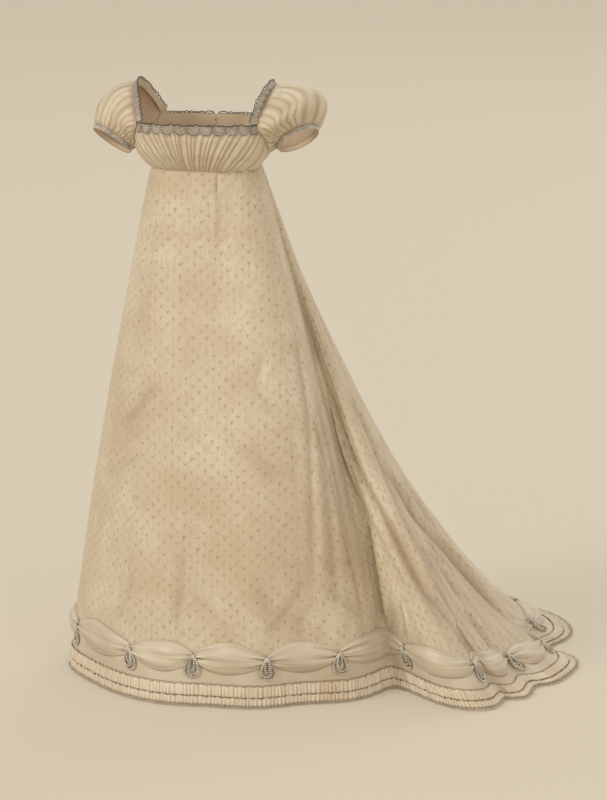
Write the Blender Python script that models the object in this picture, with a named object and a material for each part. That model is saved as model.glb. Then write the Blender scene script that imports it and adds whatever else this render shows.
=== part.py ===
"""A silk wedding dress with a high waist, short puffed sleeves and a long train.

The dress is filled out with no wearer. The origin lies midway between the tops
of the shoulder straps, the front faces -Y, and the train sweeps to +X and back.
Every piece is a hollow cloth wall worked out from the sizes below, in metres.
"""

import bpy
import bmesh
import numpy as np
from math import cos, pi, radians, sin

# Heights, measured from the strap tops.
WAIST_Z = -0.181
FLOOR_Z = -1.310
UNDERARM_Z = -0.138
SIDE_BACK_Z = -0.104
FRONT_NECK_Z = -0.080
BACK_NECK_Z = -0.084

# Cloth and seams.
SEAM_GAP = 0.0003
SILK = 0.0015
SATIN = 0.0012
LACE = 0.0012

# Body rings: height, half width, depth to the front, depth to the back.
BODY_RINGS = [
    (-0.181, 0.1155, 0.092, 0.092),
    (-0.163, 0.130, 0.109, 0.098),
    (-0.140, 0.142, 0.124, 0.104),
    (-0.110, 0.148, 0.134, 0.108),
    (-0.060, 0.150, 0.136, 0.108),
]
BODY_SQUARENESS = 3.0

# Bodice panels, as angles seen from above with 0 at +X and 90 at the back.
FRONT_EDGE_DEG = -14.0
SIDE_BACK_DEG = 38.0
FRONT_CORNER_DEG = -32.0
BACK_CORNER_DEG = 44.0
FRONT_GATHERS = 25
FRONT_GATHER_HEIGHT = 0.0022
GATHER_LEAN_DEG = 7.0
# One gather as three columns: its valley, its crest and its far flank.
GATHER_WAVE = (0.0, 1.0, 0.7)

# Straps, from the front corner over the shoulder to the back corner: x, y, z.
STRAP_PATH = [
    (0.122, -0.102, -0.0790),
    (0.132, -0.082, -0.038),
    (0.144, -0.045, -0.011),
    (0.150, 0.000, -0.002),
    (0.144, 0.038, -0.014),
    (0.129, 0.070, -0.043),
    (0.1075, 0.0930, -0.0830),
]
STRAP_BEND_CENTRE = (0.0, 0.0, -0.09)
# The angles round the neck where a strap's two edges meet the bodice.
STRAP_FRONT_DEG = (-44.6, -39.4)
STRAP_BACK_DEG = (55.6, 50.2)
# How far the front lace stops short of each corner, and where the back lace runs.
FRONT_LACE_INSET_DEG = 4.0
BACK_LACE_DEG = (54.0, 89.8)
STRAP_WIDTH = 0.013
STRAP_STEPS = 13

# Lace round the neck: depth, scallops and how far they stand above the edge.
FRONT_LACE_DEPTH = 0.022
EDGE_LACE_DEPTH = 0.010
FRONT_SCALLOPS = 11
BACK_SCALLOPS = 5
SCALLOP_HEIGHT = 0.004

# The left armhole, every 30 degrees from the shoulder round by the front: x, y, z.
ARMHOLE = [
    (0.1545, 0.000, -0.0045),
    (0.1490, -0.0425, -0.0140),
    (0.1372, -0.0808, -0.0450),
    (0.1318, -0.1023, -0.0830),
    (0.1418, -0.0790, -0.1080),
    (0.1436, -0.0450, -0.1345),
    (0.1446, 0.000, -0.1420),
    (0.1424, 0.0430, -0.1325),
    (0.1348, 0.0716, -0.1120),
    (0.1181, 0.0906, -0.0785),
    (0.1328, 0.0715, -0.0440),
    (0.1490, 0.0385, -0.0170),
]
# The puffed sleeve, from the armhole to the round cuff.
SLEEVE_CENTRE = (0.185, -0.010, -0.085)
ARMHOLE_STEPS = 8
CUFF_NORMAL = (0.48, -0.40, -0.78)
CUFF_RADIUS = 0.0450
# Each sleeve as it hangs: side, cuff centre, and the puff's reach, rise and fullness.
SLEEVES = [
    ("left", (0.203, -0.026, -0.110), 0.096, 0.006, 0.055),
    ("right", (0.198, -0.030, -0.120), 0.062, -0.009, 0.018),
]
SLEEVE_GATHERS = 13
SLEEVE_GATHER_HEIGHT = 0.004
# Rows from the armhole to the cuff, and how high the gathers stand at each.
SLEEVE_SHARES = [0.0, 0.16, 0.34, 0.52, 0.70, 0.86, 1.0]
SLEEVE_GATHER_SHARES = [0.3, 1.0, 0.7, 0.5, 0.7, 1.0, 0.3]
BRAID_TURNS = 24
BRAID_WIDTH = 0.009
BRAID_THICKNESS = 0.003

# Skirt: one line for each place round the hem, from the waist to the floor.
# Columns: place, angle at the waist in degrees, hem x, hem y, and how fast the
# line reaches outward and drops. A high drop lays the train onto the floor.
SKIRT_LINES = [
    ("left_side", 190, -0.305, -0.044, 1.25, 1.00),
    ("left_front", 213, -0.227, -0.172, 1.25, 1.00),
    ("left_front_seam", 232, -0.132, -0.262, 1.25, 1.00),
    ("front_left", 257, -0.028, -0.304, 1.30, 1.00),
    ("front", 282, 0.064, -0.304, 1.45, 1.00),
    ("front_right", 315, 0.165, -0.301, 1.90, 1.00),
    ("right_seam", 345, 0.253, -0.255, 2.40, 1.00),
    ("right_gore", 352, 0.334, -0.225, 2.00, 1.05),
    ("gore_ridge", 357, 0.390, -0.170, 1.60, 1.10),
    ("valley_c", 361, 0.435, -0.106, 1.30, 1.15),
    ("lobe_start", 364, 0.505, -0.155, 1.20, 1.20),
    ("lobe_near", 368, 0.577, -0.218, 1.15, 1.25),
    ("lobe_crest", 373, 0.640, -0.232, 1.15, 1.30),
    ("lobe_edge", 378, 0.676, -0.196, 1.10, 1.35),
    ("valley_a", 382, 0.688, -0.145, 1.10, 1.45),
    ("ridge_a", 386, 0.722, -0.137, 1.07, 1.48),
    ("ridge_a_edge", 390, 0.737, -0.088, 1.05, 1.50),
    ("valley_d", 394, 0.744, -0.043, 1.03, 1.52),
    ("ridge_d", 398, 0.776, -0.015, 1.02, 1.54),
    ("train_edge", 403, 0.800, 0.040, 1.00, 1.55),
    ("train_side", 408, 0.815, 0.113, 1.00, 1.56),
    ("train_fold", 413, 0.798, 0.186, 1.00, 1.58),
    ("valley_b", 418, 0.743, 0.248, 1.00, 1.60),
    ("back_lobe", 423, 0.770, 0.329, 1.00, 1.60),
    ("train_corner", 429, 0.769, 0.430, 1.00, 1.60),
    ("train_end", 436, 0.708, 0.536, 1.00, 1.60),
    ("train_back", 443, 0.599, 0.603, 1.00, 1.60),
    ("back_ridge_1", 451, 0.480, 0.618, 1.00, 1.60),
    ("back_valley_1", 460, 0.374, 0.558, 1.00, 1.60),
    ("back_ridge_2", 469, 0.257, 0.558, 1.00, 1.50),
    ("back_valley_2", 478, 0.154, 0.479, 1.00, 1.40),
    ("back_ridge_3", 489, 0.044, 0.444, 1.10, 1.30),
    ("back_valley_3", 502, -0.070, 0.338, 1.20, 1.20),
    ("back_left", 516, -0.187, 0.256, 1.25, 1.10),
    ("left_back", 531, -0.274, 0.114, 1.25, 1.00),
]
COLUMNS_PER_LINE = 3
LINE_STEPS = 160

# Skirt panels: name, and the lines where each starts and ends.
SKIRT_PANELS = [
    ("skirt_front", "left_front_seam", "right_seam"),
    ("skirt_gore_left", "right_seam", "ridge_d"),
    ("skirt_train_left", "ridge_d", "back_valley_1"),
    ("skirt_train_right", "back_valley_1", "back_left"),
    ("skirt_gore_right", "back_left", "left_front_seam"),
]

# Trim round the hem, as distances up the cloth from the hem.
FLOUNCE_HEIGHT = 0.026
FLOUNCE_COLUMNS = 2
FLOUNCE_STAND = 0.0045
BAND_BOTTOM = 0.053
BAND_MIDDLE = 0.082
BAND_TOP = 0.112
SWAG_MIDDLE = 0.108
SWAG_HALF_HEIGHT = 0.035
SWAG_NECK = 0.006
SWAG_BULGE = 0.011
KNOT_SHARES = [0.019, 0.086, 0.131, 0.177, 0.224, 0.294, 0.359, 0.420, 0.477,
               0.541, 0.600, 0.660, 0.720, 0.780, 0.839, 0.899, 0.959]
SWAG_STRIP_STARTS = [0, 4, 8, 12]
PENDANT_LENGTH = 0.050
PENDANT_HALF_WIDTH = 0.0125
PENDANT_TUBE = 0.0026
PENDANT_TURNS = 10
PENDANT_CORNERS = 4
# How far a loop stands off the silk, from its foot on the band to its top on the knot.
PENDANT_RISES = [-1.0, -0.3, 0.3, 0.8, 1.0]
PENDANT_LIFTS = [0.0064, 0.0080, 0.0100, 0.0100, 0.0089]

# Distances up the cloth that carry a row of points, and the shares above them.
TRIM_ROWS = [0.0, FLOUNCE_HEIGHT, BAND_BOTTOM, BAND_MIDDLE, BAND_TOP]
UPPER_SHARES = [0.22, 0.45, 0.68, 0.88, 1.0]
# The folded lines, and the share of the way down over which their folds come in.
FOLDED = ("gore_ridge", "back_left")
FOLD_FADE = 0.60
FOLD_START = 0.06

# Colours: red, green, blue, and roughness.
COLOURS = {
    "silk": (0.66, 0.53, 0.36, 0.55),
    "satin": (0.74, 0.66, 0.50, 0.40),
    "flounce": (0.68, 0.58, 0.42, 0.55),
    "lace": (0.42, 0.41, 0.37, 0.50),
    "beads": (0.48, 0.47, 0.43, 0.30),
}


def unit(vectors):
    """The same vectors at length one."""
    vectors = np.asarray(vectors, float)
    return vectors / np.linalg.norm(vectors, axis=-1, keepdims=True)


def closed_curve(table, places, columns_per_line, lap):
    """A smooth closed curve through the rows; places are the columns that give distance."""
    rows = np.array(table, float)
    count = len(rows)
    ahead = np.roll(rows, -1, axis=0)
    ahead[-1, 0] += lap
    chord = np.linalg.norm(ahead[:, places] - rows[:, places], axis=1)
    step = np.sqrt(chord)
    rise = (ahead - rows) / step[:, None]
    before = np.roll(step, 1)
    system = np.zeros((count, count))
    target = np.zeros(rows.shape)
    for i in range(count):
        system[i, i - 1] = step[i]
        system[i, i] = 2.0 * (step[i] + before[i])
        system[i, (i + 1) % count] = before[i]
        target[i] = 3.0 * (before[i] * rise[i] + step[i] * rise[i - 1])
    slope = np.linalg.solve(system, target)
    columns = []
    for i in range(count):
        for part in range(columns_per_line):
            s = part / columns_per_line
            h = step[i]
            start = (1 + 2 * s) * (1 - s) ** 2 * rows[i] + s * (1 - s) ** 2 * h * slope[i]
            end = s * s * (3 - 2 * s) * ahead[i] + s * s * (s - 1) * h * slope[(i + 1) % count]
            columns.append(start + end)
    return np.array(columns)


def body_ring(z):
    """Half width and depths of the body at a height."""
    heights = [row[0] for row in BODY_RINGS]
    return [np.interp(z, heights, [row[k] for row in BODY_RINGS]) for k in (1, 2, 3)]


def body_point(degrees, z):
    """A point on the inside of the bodice."""
    half_width, front, back = body_ring(z)
    c, s = cos(radians(degrees)), sin(radians(degrees))
    power = 2.0 / BODY_SQUARENESS
    depth = back if s > 0 else front
    return (half_width * np.sign(c) * abs(c) ** power, depth * np.sign(s) * abs(s) ** power, z)


def grid_normals(points, closed=False):
    """Outward unit normals of a grid of rows from bottom to top."""
    up = np.gradient(points, axis=0)
    if closed:
        along = np.roll(points, -1, axis=1) - np.roll(points, 1, axis=1)
    else:
        along = np.gradient(points, axis=1)
    return unit(np.cross(along, up))


def collection():
    """The collection that holds the dress."""
    found = bpy.data.collections.get("wedding_dress")
    if found is None:
        found = bpy.data.collections.new("wedding_dress")
        bpy.context.scene.collection.children.link(found)
    return found


def add_material(thing, colour):
    """Give a piece its own plain material."""
    red, green, blue, roughness = COLOURS[colour]
    material = bpy.data.materials.new(thing.name)
    material.use_nodes = True
    shader = material.node_tree.nodes["Principled BSDF"]
    shader.inputs["Base Color"].default_value = (red, green, blue, 1.0)
    shader.inputs["Roughness"].default_value = roughness
    thing.data.materials.append(material)


def add_mesh(name, points, faces, colour):
    """One closed body, facing outward, in the dress's collection."""
    mesh = bpy.data.meshes.new(name)
    mesh.from_pydata([tuple(p) for p in points], [], faces)
    work = bmesh.new()
    work.from_mesh(mesh)
    bmesh.ops.recalc_face_normals(work, faces=work.faces)
    work.to_mesh(mesh)
    work.free()
    mesh.shade_smooth()
    thing = bpy.data.objects.new(name, mesh)
    collection().objects.link(thing)
    add_material(thing, colour)
    return thing


def add_wall(name, inside, outside, colour, closed=False):
    """A cloth wall between two grids of points, rows first."""
    rows, columns = inside.shape[:2]
    points = np.concatenate([inside.reshape(-1, 3), outside.reshape(-1, 3)])
    shift = rows * columns
    last = columns if closed else columns - 1
    faces = []

    def at(row, column, side):
        return side * shift + row * columns + column % columns

    def pair(a, b, c, d):
        faces.append((a, b, c))
        faces.append((a, c, d))

    for row in range(rows - 1):
        for column in range(last):
            for side in (0, 1):
                pair(at(row, column, side), at(row, column + 1, side),
                     at(row + 1, column + 1, side), at(row + 1, column, side))
    for column in range(last):
        for row in (0, rows - 1):
            pair(at(row, column, 0), at(row, column + 1, 0),
                 at(row, column + 1, 1), at(row, column, 1))
    if not closed:
        for row in range(rows - 1):
            for column in (0, columns - 1):
                pair(at(row, column, 0), at(row + 1, column, 0),
                     at(row + 1, column, 1), at(row, column, 1))
    return add_mesh(name, points, faces, colour)


def mirrored(grid):
    """The same grid on the other side of the dress, with its columns reversed."""
    return (grid * np.array([-1.0, 1.0, 1.0]))[:, ::-1]


class Skirt:
    """The skirt's grid of points, and places on it measured from the hem."""

    def __init__(self, columns_per_line):
        lines = [line[1:] for line in SKIRT_LINES]
        columns = closed_curve(lines, [1, 2], columns_per_line, 360.0)
        self.per_line = columns_per_line
        self.count = len(columns)
        share = np.linspace(0.0, 1.0, LINE_STEPS)[:, None]
        top_z = WAIST_Z - SEAM_GAP
        waist = np.array([body_point(c[0], WAIST_Z) for c in columns])
        reach = 1.0 - (1.0 - share) ** columns[:, 3]
        drop = 1.0 - (1.0 - share) ** columns[:, 4]
        x = waist[:, 0] + (columns[:, 1] - waist[:, 0]) * reach
        y = waist[:, 1] + (columns[:, 2] - waist[:, 1]) * reach
        z = top_z + (FLOOR_Z - top_z) * drop
        lines = np.stack([x, y, z], axis=-1)
        reach_round = range(-columns_per_line, columns_per_line + 1)
        smooth = sum(np.roll(lines, k, axis=1) for k in reach_round) / len(reach_round)
        place = np.arange(self.count) / columns_per_line
        first, last = [self.line(name) / columns_per_line for name in FOLDED]
        folded = np.clip(np.minimum(place - first, last - place), 0.0, 1.0)
        soft = np.minimum(1.0, share / FOLD_START) * np.maximum(0.0, 1.0 - share / FOLD_FADE) * folded
        lines = (lines + (smooth - lines) * soft[:, :, None])[::-1]
        steps = np.linalg.norm(np.diff(lines, axis=0), axis=-1)
        lengths = np.concatenate([np.zeros((1, self.count)), np.cumsum(steps, axis=0)])
        self.points = np.zeros((len(TRIM_ROWS) + len(UPPER_SHARES), self.count, 3))
        self.up = np.zeros(self.points.shape[:2])
        for c in range(self.count):
            whole = lengths[-1, c]
            rest = whole - TRIM_ROWS[-1]
            places = TRIM_ROWS + [TRIM_ROWS[-1] + rest * s for s in UPPER_SHARES]
            self.up[:, c] = places
            for k in range(3):
                self.points[:, c, k] = np.interp(places, lengths[:, c], lines[:, c, k])
        self.normals = grid_normals(self.points, closed=True)
        hem = self.points[0]
        spans = np.linalg.norm(np.roll(hem, -1, axis=0) - hem, axis=-1)
        self.round = np.concatenate([[0.0], np.cumsum(spans)])

    def room(self, along):
        """How far cloth may stand out at a place before a hollow fold closes on it."""
        row = TRIM_ROWS.index(BAND_TOP)
        here = int(np.argmin(abs(self.round[:-1] - along % self.round[-1])))
        room = 1.0
        for c in (here - 1, here, here + 1):
            before, after = (c - 1) % self.count, (c + 1) % self.count
            gap = self.points[row, after] - self.points[row, before]
            turn = self.normals[row, after] - self.normals[row, before]
            bend = -np.dot(turn, unit(gap)) / np.linalg.norm(gap)
            room = min(room, 0.25 / bend if bend > 0 else 1.0)
        return room

    def line(self, name):
        """The column of a named line."""
        names = [line[0] for line in SKIRT_LINES]
        return names.index(name) * self.per_line

    def place(self, along, up, lift):
        """A point a distance along the hem, up the cloth and out from it."""
        whole = self.round[-1]
        column = np.searchsorted(self.round, along % whole, side="right") - 1
        column = min(column, self.count - 1)
        s = (along % whole - self.round[column]) / (self.round[column + 1] - self.round[column])
        after = (column + 1) % self.count
        row = int(np.clip(np.searchsorted(TRIM_ROWS, up, side="right") - 1, 0, len(TRIM_ROWS) - 1))
        low, high = self.up[row, column], self.up[row + 1, column]
        r = (up - low) / (high - low)

        def across(grid):
            a, b = grid[row, column], grid[row, after]
            d, c = grid[row + 1, column], grid[row + 1, after]
            if s >= r:
                return a + (b - a) * s + (c - b) * r
            return a + (c - d) * s + (d - a) * r

        return across(self.points) + unit(across(self.normals)) * lift


def make_skirt(skirt):
    """The five panels of the skirt, parted at their seams."""
    for name, start, end in SKIRT_PANELS:
        first, last = skirt.line(start), skirt.line(end)
        if last <= first:
            last += skirt.count
        columns = [c % skirt.count for c in range(first, last + 1)]
        inside = skirt.points[:, columns].copy()
        normals = skirt.normals[:, columns]
        for edge, inner in ((0, 1), (-1, -2)):
            along = unit(inside[:, inner] - inside[:, edge])
            inside[:, edge] += along * SEAM_GAP / 2
        outside = inside + normals * SILK
        outside[-1, :, 2] = inside[-1, :, 2]
        add_wall(name, inside, outside, "silk")


def make_band(skirt):
    """The satin band above the flounces, in a front and a back length."""
    front, back = skirt.line("left_front"), skirt.line("train_corner")
    rows = [TRIM_ROWS.index(up) for up in (BAND_BOTTOM, BAND_MIDDLE, BAND_TOP)]
    for name, first, last in (("hem_band_front", front, back),
                              ("hem_band_back", back, front + skirt.count)):
        columns = [c % skirt.count for c in range(first, last + 1)]
        base = skirt.points[rows][:, columns].copy()
        normals = skirt.normals[rows][:, columns]
        for edge, inner in ((0, 1), (-1, -2)):
            base[:, edge] += unit(base[:, inner] - base[:, edge]) * SEAM_GAP / 2
        low = SILK + SEAM_GAP
        add_wall(name, base + normals * low, base + normals * (low + SATIN), "satin")


def make_flounce(skirt, name, bottom):
    """One gathered flounce, a ring all round the hem."""
    low = SILK + 3 * SEAM_GAP
    top = bottom + FLOUNCE_HEIGHT - 3 * SEAM_GAP
    columns = skirt.count * FLOUNCE_COLUMNS
    inside = np.zeros((2, columns, 3))
    outside = np.zeros((2, columns, 3))
    for c in range(columns):
        before = c // FLOUNCE_COLUMNS
        share = (c % FLOUNCE_COLUMNS) / FLOUNCE_COLUMNS
        along = skirt.round[before] * (1 - share) + skirt.round[before + 1] * share
        wave = GATHER_WAVE[c % 3]
        for row, (up, stand) in enumerate(((bottom, 1.0), (top, 0.3))):
            inside[row, c] = skirt.place(along, up, low)
            outside[row, c] = skirt.place(along, up, low + SATIN + FLOUNCE_STAND * stand * wave)
    add_wall(name, inside, outside, "flounce", closed=True)


def make_flounces(skirt):
    """The lower and the upper flounce, one above the other."""
    make_flounce(skirt, "flounce_lower", 2 * SEAM_GAP)
    make_flounce(skirt, "flounce_upper", FLOUNCE_HEIGHT + 2 * SEAM_GAP)


def knot_place(skirt, knot):
    """How far along the hem a knot lies, counting on past a full turn."""
    lap, place = divmod(knot, len(KNOT_SHARES))
    return skirt.round[-1] * (KNOT_SHARES[place] + lap)


def make_swags(skirt):
    """The satin strip above the band, drawn in at each knot."""
    low = SILK + SATIN + 4 * SEAM_GAP
    across = [-1.0, -0.35, 0.35, 1.0]
    columns = np.concatenate([skirt.round[:-1], skirt.round[:-1] + skirt.round[-1]])
    ends = SWAG_STRIP_STARTS[1:] + [len(KNOT_SHARES)]
    for strip, (first, last) in enumerate(zip(SWAG_STRIP_STARTS, ends)):
        knots = [knot_place(skirt, k) for k in range(first, last + 1)]
        clear = [c for c in columns if knots[0] < c < knots[-1]
                 and min(abs(c - k) for k in knots) > SWAG_NECK]
        places = [knots[0] + SEAM_GAP / 2] + sorted(clear + knots[1:-1])
        places.append(knots[-1] - SEAM_GAP / 2)
        inside = np.zeros((len(across), len(places), 3))
        outside = np.zeros((len(across), len(places), 3))
        for c, along in enumerate(places):
            k = min(int(np.searchsorted(knots, along, side="right")), len(knots) - 1)
            full = abs(sin(pi * (along - knots[k - 1]) / (knots[k] - knots[k - 1]))) ** 0.8
            half = SWAG_NECK + (SWAG_HALF_HEIGHT - SWAG_NECK) * full
            for r, q in enumerate(across):
                bulge = min(SWAG_BULGE * full, skirt.room(along)) * (1.0 - q * q)
                up = SWAG_MIDDLE + half * q
                inside[r, c] = skirt.place(along, up, low + bulge)
                outside[r, c] = skirt.place(along, up, low + bulge + SATIN)
        add_wall("swag_%d" % (strip + 1), inside, outside, "satin")


def make_pendants(skirt):
    """A hanging loop of beads at each knot, as one closed tube."""
    turns, corners = PENDANT_TURNS, PENDANT_CORNERS
    for knot in range(len(KNOT_SHARES)):
        along = knot_place(skirt, knot)
        middle = SWAG_MIDDLE + SWAG_NECK - PENDANT_LENGTH / 2
        reach = PENDANT_LENGTH / 2 - PENDANT_TUBE
        wide = PENDANT_HALF_WIDTH - PENDANT_TUBE
        points = []
        for turn in range(turns):
            a = 2 * pi * turn / turns
            side, rise = sin(a) * (1 - 0.35 * cos(a)), cos(a)
            stand = np.interp(rise, PENDANT_RISES, PENDANT_LIFTS)
            for corner in range(corners):
                b = 2 * pi * corner / corners
                x = side * wide + PENDANT_TUBE * cos(b) * sin(a)
                up = rise * reach + PENDANT_TUBE * cos(b) * cos(a)
                lift = stand + PENDANT_TUBE * sin(b)
                points.append(skirt.place(along + x, middle + up, lift))
        faces = []
        for turn in range(turns):
            for corner in range(corners):
                n, m = (turn + 1) % turns, (corner + 1) % corners
                faces.append((turn * corners + corner, n * corners + corner,
                              n * corners + m, turn * corners + m))
        add_mesh("bead_loop_%02d" % (knot + 1), points, faces, "beads")


def front_top(degrees):
    """Height of the bodice's top edge on the front, level across the neck."""
    away = abs(degrees + 90.0)
    level = 90.0 + FRONT_CORNER_DEG
    fall = max(0.0, (away - level) / (90.0 + FRONT_EDGE_DEG - level))
    return FRONT_NECK_Z + (UNDERARM_Z - FRONT_NECK_Z) * fall ** 0.8


def back_top(degrees):
    """Height of the bodice's top edge on a back panel."""
    level = BACK_CORNER_DEG
    fall = max(0.0, (level - degrees) / (level - SIDE_BACK_DEG))
    return BACK_NECK_Z + (SIDE_BACK_Z - BACK_NECK_Z) * fall


def side_top(degrees):
    """Height of the bodice's top edge under the arm."""
    rise = max(0.0, degrees / SIDE_BACK_DEG) ** 2
    return UNDERARM_Z + (SIDE_BACK_Z - UNDERARM_Z) * rise


def bodice_panel(start, end, top, columns, rows, lean=0.0):
    """The inside points of a bodice panel between two angles."""
    low = WAIST_Z + SEAM_GAP / 2
    grid = np.zeros((rows, columns, 3))
    for c in range(columns):
        share = c / (columns - 1)
        degrees = start + (end - start) * share
        high = top(degrees)
        for r in range(rows):
            z = low + (high - low) * r / (rows - 1)
            turn = lean * sin(2 * pi * share) * (1 - r / (rows - 1))
            grid[r, c] = body_point(degrees + turn, z)
    for edge, inner in ((0, 1), (-1, -2)):
        grid[:, edge] += unit(grid[:, inner] - grid[:, edge]) * SEAM_GAP / 2
    return grid


def make_bodice():
    """The gathered front, two plain sides and two backs that meet at the centre."""
    columns = FRONT_GATHERS * 3 + 1
    front = bodice_panel(-180.0 - FRONT_EDGE_DEG, FRONT_EDGE_DEG, front_top, columns, 4,
                         GATHER_LEAN_DEG)
    normals = grid_normals(front)
    wave = np.array([GATHER_WAVE[c % 3] for c in range(columns)])
    ridge = FRONT_GATHER_HEIGHT * wave[None, :, None]
    outside = front + normals * (SILK + ridge)
    outside[0, :, 2] = front[0, :, 2]
    add_wall("bodice_front", front, outside, "silk")
    side = bodice_panel(FRONT_EDGE_DEG, SIDE_BACK_DEG, side_top, 7, 4)
    back = bodice_panel(SIDE_BACK_DEG, 90.0, back_top, 10, 4)
    for name, grid in (("side", side), ("back", back)):
        outside = grid + grid_normals(grid) * SILK
        outside[0, :, 2] = grid[0, :, 2]
        add_wall("bodice_%s_left" % name, grid, outside, "silk")
        add_wall("bodice_%s_right" % name, mirrored(grid), mirrored(outside), "silk")


def strap_grid(steps):
    """Centre line of the left strap, with its outward and upward directions."""
    path = np.array(STRAP_PATH)
    lengths = np.concatenate([[0.0], np.cumsum(np.linalg.norm(np.diff(path, axis=0), axis=1))])
    places = np.linspace(0.0, lengths[-1], steps)
    line = np.stack([np.interp(places, lengths, path[:, k]) for k in range(3)], axis=1)
    along = unit(np.gradient(line, axis=0))
    out = unit(line - np.array(STRAP_BEND_CENTRE))
    across = unit(np.cross(along, out))
    out = unit(np.cross(across, along))
    return line, across, out


def make_straps():
    """The two shoulder straps."""
    line, across, out = strap_grid(STRAP_STEPS)
    half = STRAP_WIDTH / 2
    inside = np.stack([line - across * half, line + across * half])
    for end, spread, top in ((0, STRAP_FRONT_DEG, FRONT_NECK_Z), (-1, STRAP_BACK_DEG, BACK_NECK_Z)):
        inside[:, end] = [body_point(degrees, top + SEAM_GAP) for degrees in spread]
    outside = inside + out * SILK
    outside[:, [0, -1], 2] = inside[:, [0, -1], 2]
    add_wall("shoulder_strap_left", inside, outside, "silk")
    add_wall("shoulder_strap_right", mirrored(inside), mirrored(outside), "silk")


def make_lace():
    """The scalloped lace on the front neck, the straps and the back neck."""
    columns = FRONT_SCALLOPS * 4 + 1
    low = SILK + FRONT_GATHER_HEIGHT + 2 * SEAM_GAP
    edge = 90.0 + FRONT_CORNER_DEG - FRONT_LACE_INSET_DEG
    grid = np.zeros((3, columns, 3))
    for c in range(columns):
        degrees = -90.0 - edge + 2 * edge * c / (columns - 1)
        top = FRONT_NECK_Z + SCALLOP_HEIGHT * abs(sin(pi * c / 4))
        for r, z in enumerate((FRONT_NECK_Z - FRONT_LACE_DEPTH, FRONT_NECK_Z - 0.008, top)):
            grid[r, c] = body_point(degrees, z)
    normals = grid_normals(grid)
    add_wall("neck_lace_front", grid + normals * low, grid + normals * (low + LACE), "lace")
    columns = BACK_SCALLOPS * 4 + 1
    grid = np.zeros((2, columns, 3))
    for c in range(columns):
        degrees = BACK_LACE_DEG[0] + (BACK_LACE_DEG[1] - BACK_LACE_DEG[0]) * c / (columns - 1)
        top = BACK_NECK_Z + SCALLOP_HEIGHT * (0.3 + 0.7 * abs(sin(pi * c / 4)))
        for r, z in enumerate((BACK_NECK_Z - EDGE_LACE_DEPTH, top)):
            grid[r, c] = body_point(degrees, z)
    normals = grid_normals(grid)
    inside, outside = grid + normals * (SILK + 2 * SEAM_GAP), grid + normals * (SILK + LACE * 1.5)
    add_wall("neck_lace_back_left", inside, outside, "lace")
    add_wall("neck_lace_back_right", mirrored(inside), mirrored(outside), "lace")
    line, across, out = strap_grid(STRAP_STEPS)
    line, across, out = line[1:-1], across[1:-1], out[1:-1]
    low = out * (SILK + SEAM_GAP)
    inside = np.stack([line - across * (STRAP_WIDTH / 2 + 0.002), line - across * 0.0]) + low
    add_wall("neck_lace_strap_left", inside, inside + out * LACE, "lace")
    add_wall("neck_lace_strap_right", mirrored(inside), mirrored(inside + out * LACE), "lace")


def sleeve_point(loop, turn, share, centre, reach, rise, fullness):
    """A point of a sleeve built on the left: turn round the arm, share down to the cuff.

    The line from the armhole to the cuff is a cubic. Its first handle stands out from
    the armhole by the reach and rise, and its second stands off the cuff by the fullness.
    """
    place = (turn / (2 * pi) * len(loop)) % len(loop)
    before = int(place)
    start = loop[before] + (loop[(before + 1) % len(loop)] - loop[before]) * (place - before)
    cuff = np.array(centre)
    axis = unit(np.array(CUFF_NORMAL))
    front = unit(np.array([0.0, -1.0, 0.0]) - axis * np.dot([0.0, -1.0, 0.0], axis))
    top = np.cross(front, axis)
    c, s = cos(turn), sin(turn)
    radial = front * s + top * c
    end = cuff + radial * CUFF_RADIUS
    spread = np.array([0.0, -s, c])
    upper = 0.5 + 0.5 * c
    first = start + np.array([1.0, 0.0, 0.0]) * (0.004 + reach * upper)
    first = first + spread * (0.004 + rise * upper)
    second = end - axis * (0.007 + 0.008 * abs(s) + (0.008 + 0.20 * fullness) * upper)
    second = second + radial * (0.002 + (0.006 + fullness) * upper + 0.018 * s * s)
    t = share
    point = (1 - t) ** 3 * start + 3 * (1 - t) ** 2 * t * first
    point = point + 3 * (1 - t) * t * t * second + t ** 3 * end
    return point


def make_sleeve(side, centre, *puff):
    """One gathered puff sleeve and the braid round its cuff."""
    loop = closed_curve(ARMHOLE, [0, 1, 2], ARMHOLE_STEPS, 0.0)
    columns = SLEEVE_GATHERS * 3
    base = np.array([[sleeve_point(loop, 2 * pi * c / columns, t, centre, *puff)
                      for c in range(columns)] for t in SLEEVE_SHARES])
    normals = grid_normals(base, closed=True)
    if np.sum(normals * (base - np.array(SLEEVE_CENTRE))) < 0:
        normals = -normals
    wave = np.array([GATHER_WAVE[c % 3] for c in range(columns)])[None, :, None]
    fade = np.array(SLEEVE_GATHER_SHARES)[:, None, None]
    outside = base + normals * (SILK + SLEEVE_GATHER_HEIGHT * wave * fade)
    axis = unit(np.array(CUFF_NORMAL))
    past = (outside[-1] - np.array(centre)) @ axis
    outside[-1] -= past[:, None] * axis
    turns = [2 * pi * c / BRAID_TURNS for c in range(BRAID_TURNS)]
    rim = np.array([sleeve_point(loop, turn, 1.0, centre, *puff) for turn in turns])
    braid = np.array([rim + axis * 2 * SEAM_GAP, rim + axis * BRAID_WIDTH])
    braid_out = braid + unit(rim - np.array(centre)) * BRAID_THICKNESS
    if side == "right":
        base, outside, braid, braid_out = [mirrored(g) for g in (base, outside, braid, braid_out)]
    add_wall("sleeve_" + side, base, outside, "silk", closed=True)
    add_wall("cuff_braid_" + side, braid, braid_out, "lace", closed=True)


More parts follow.
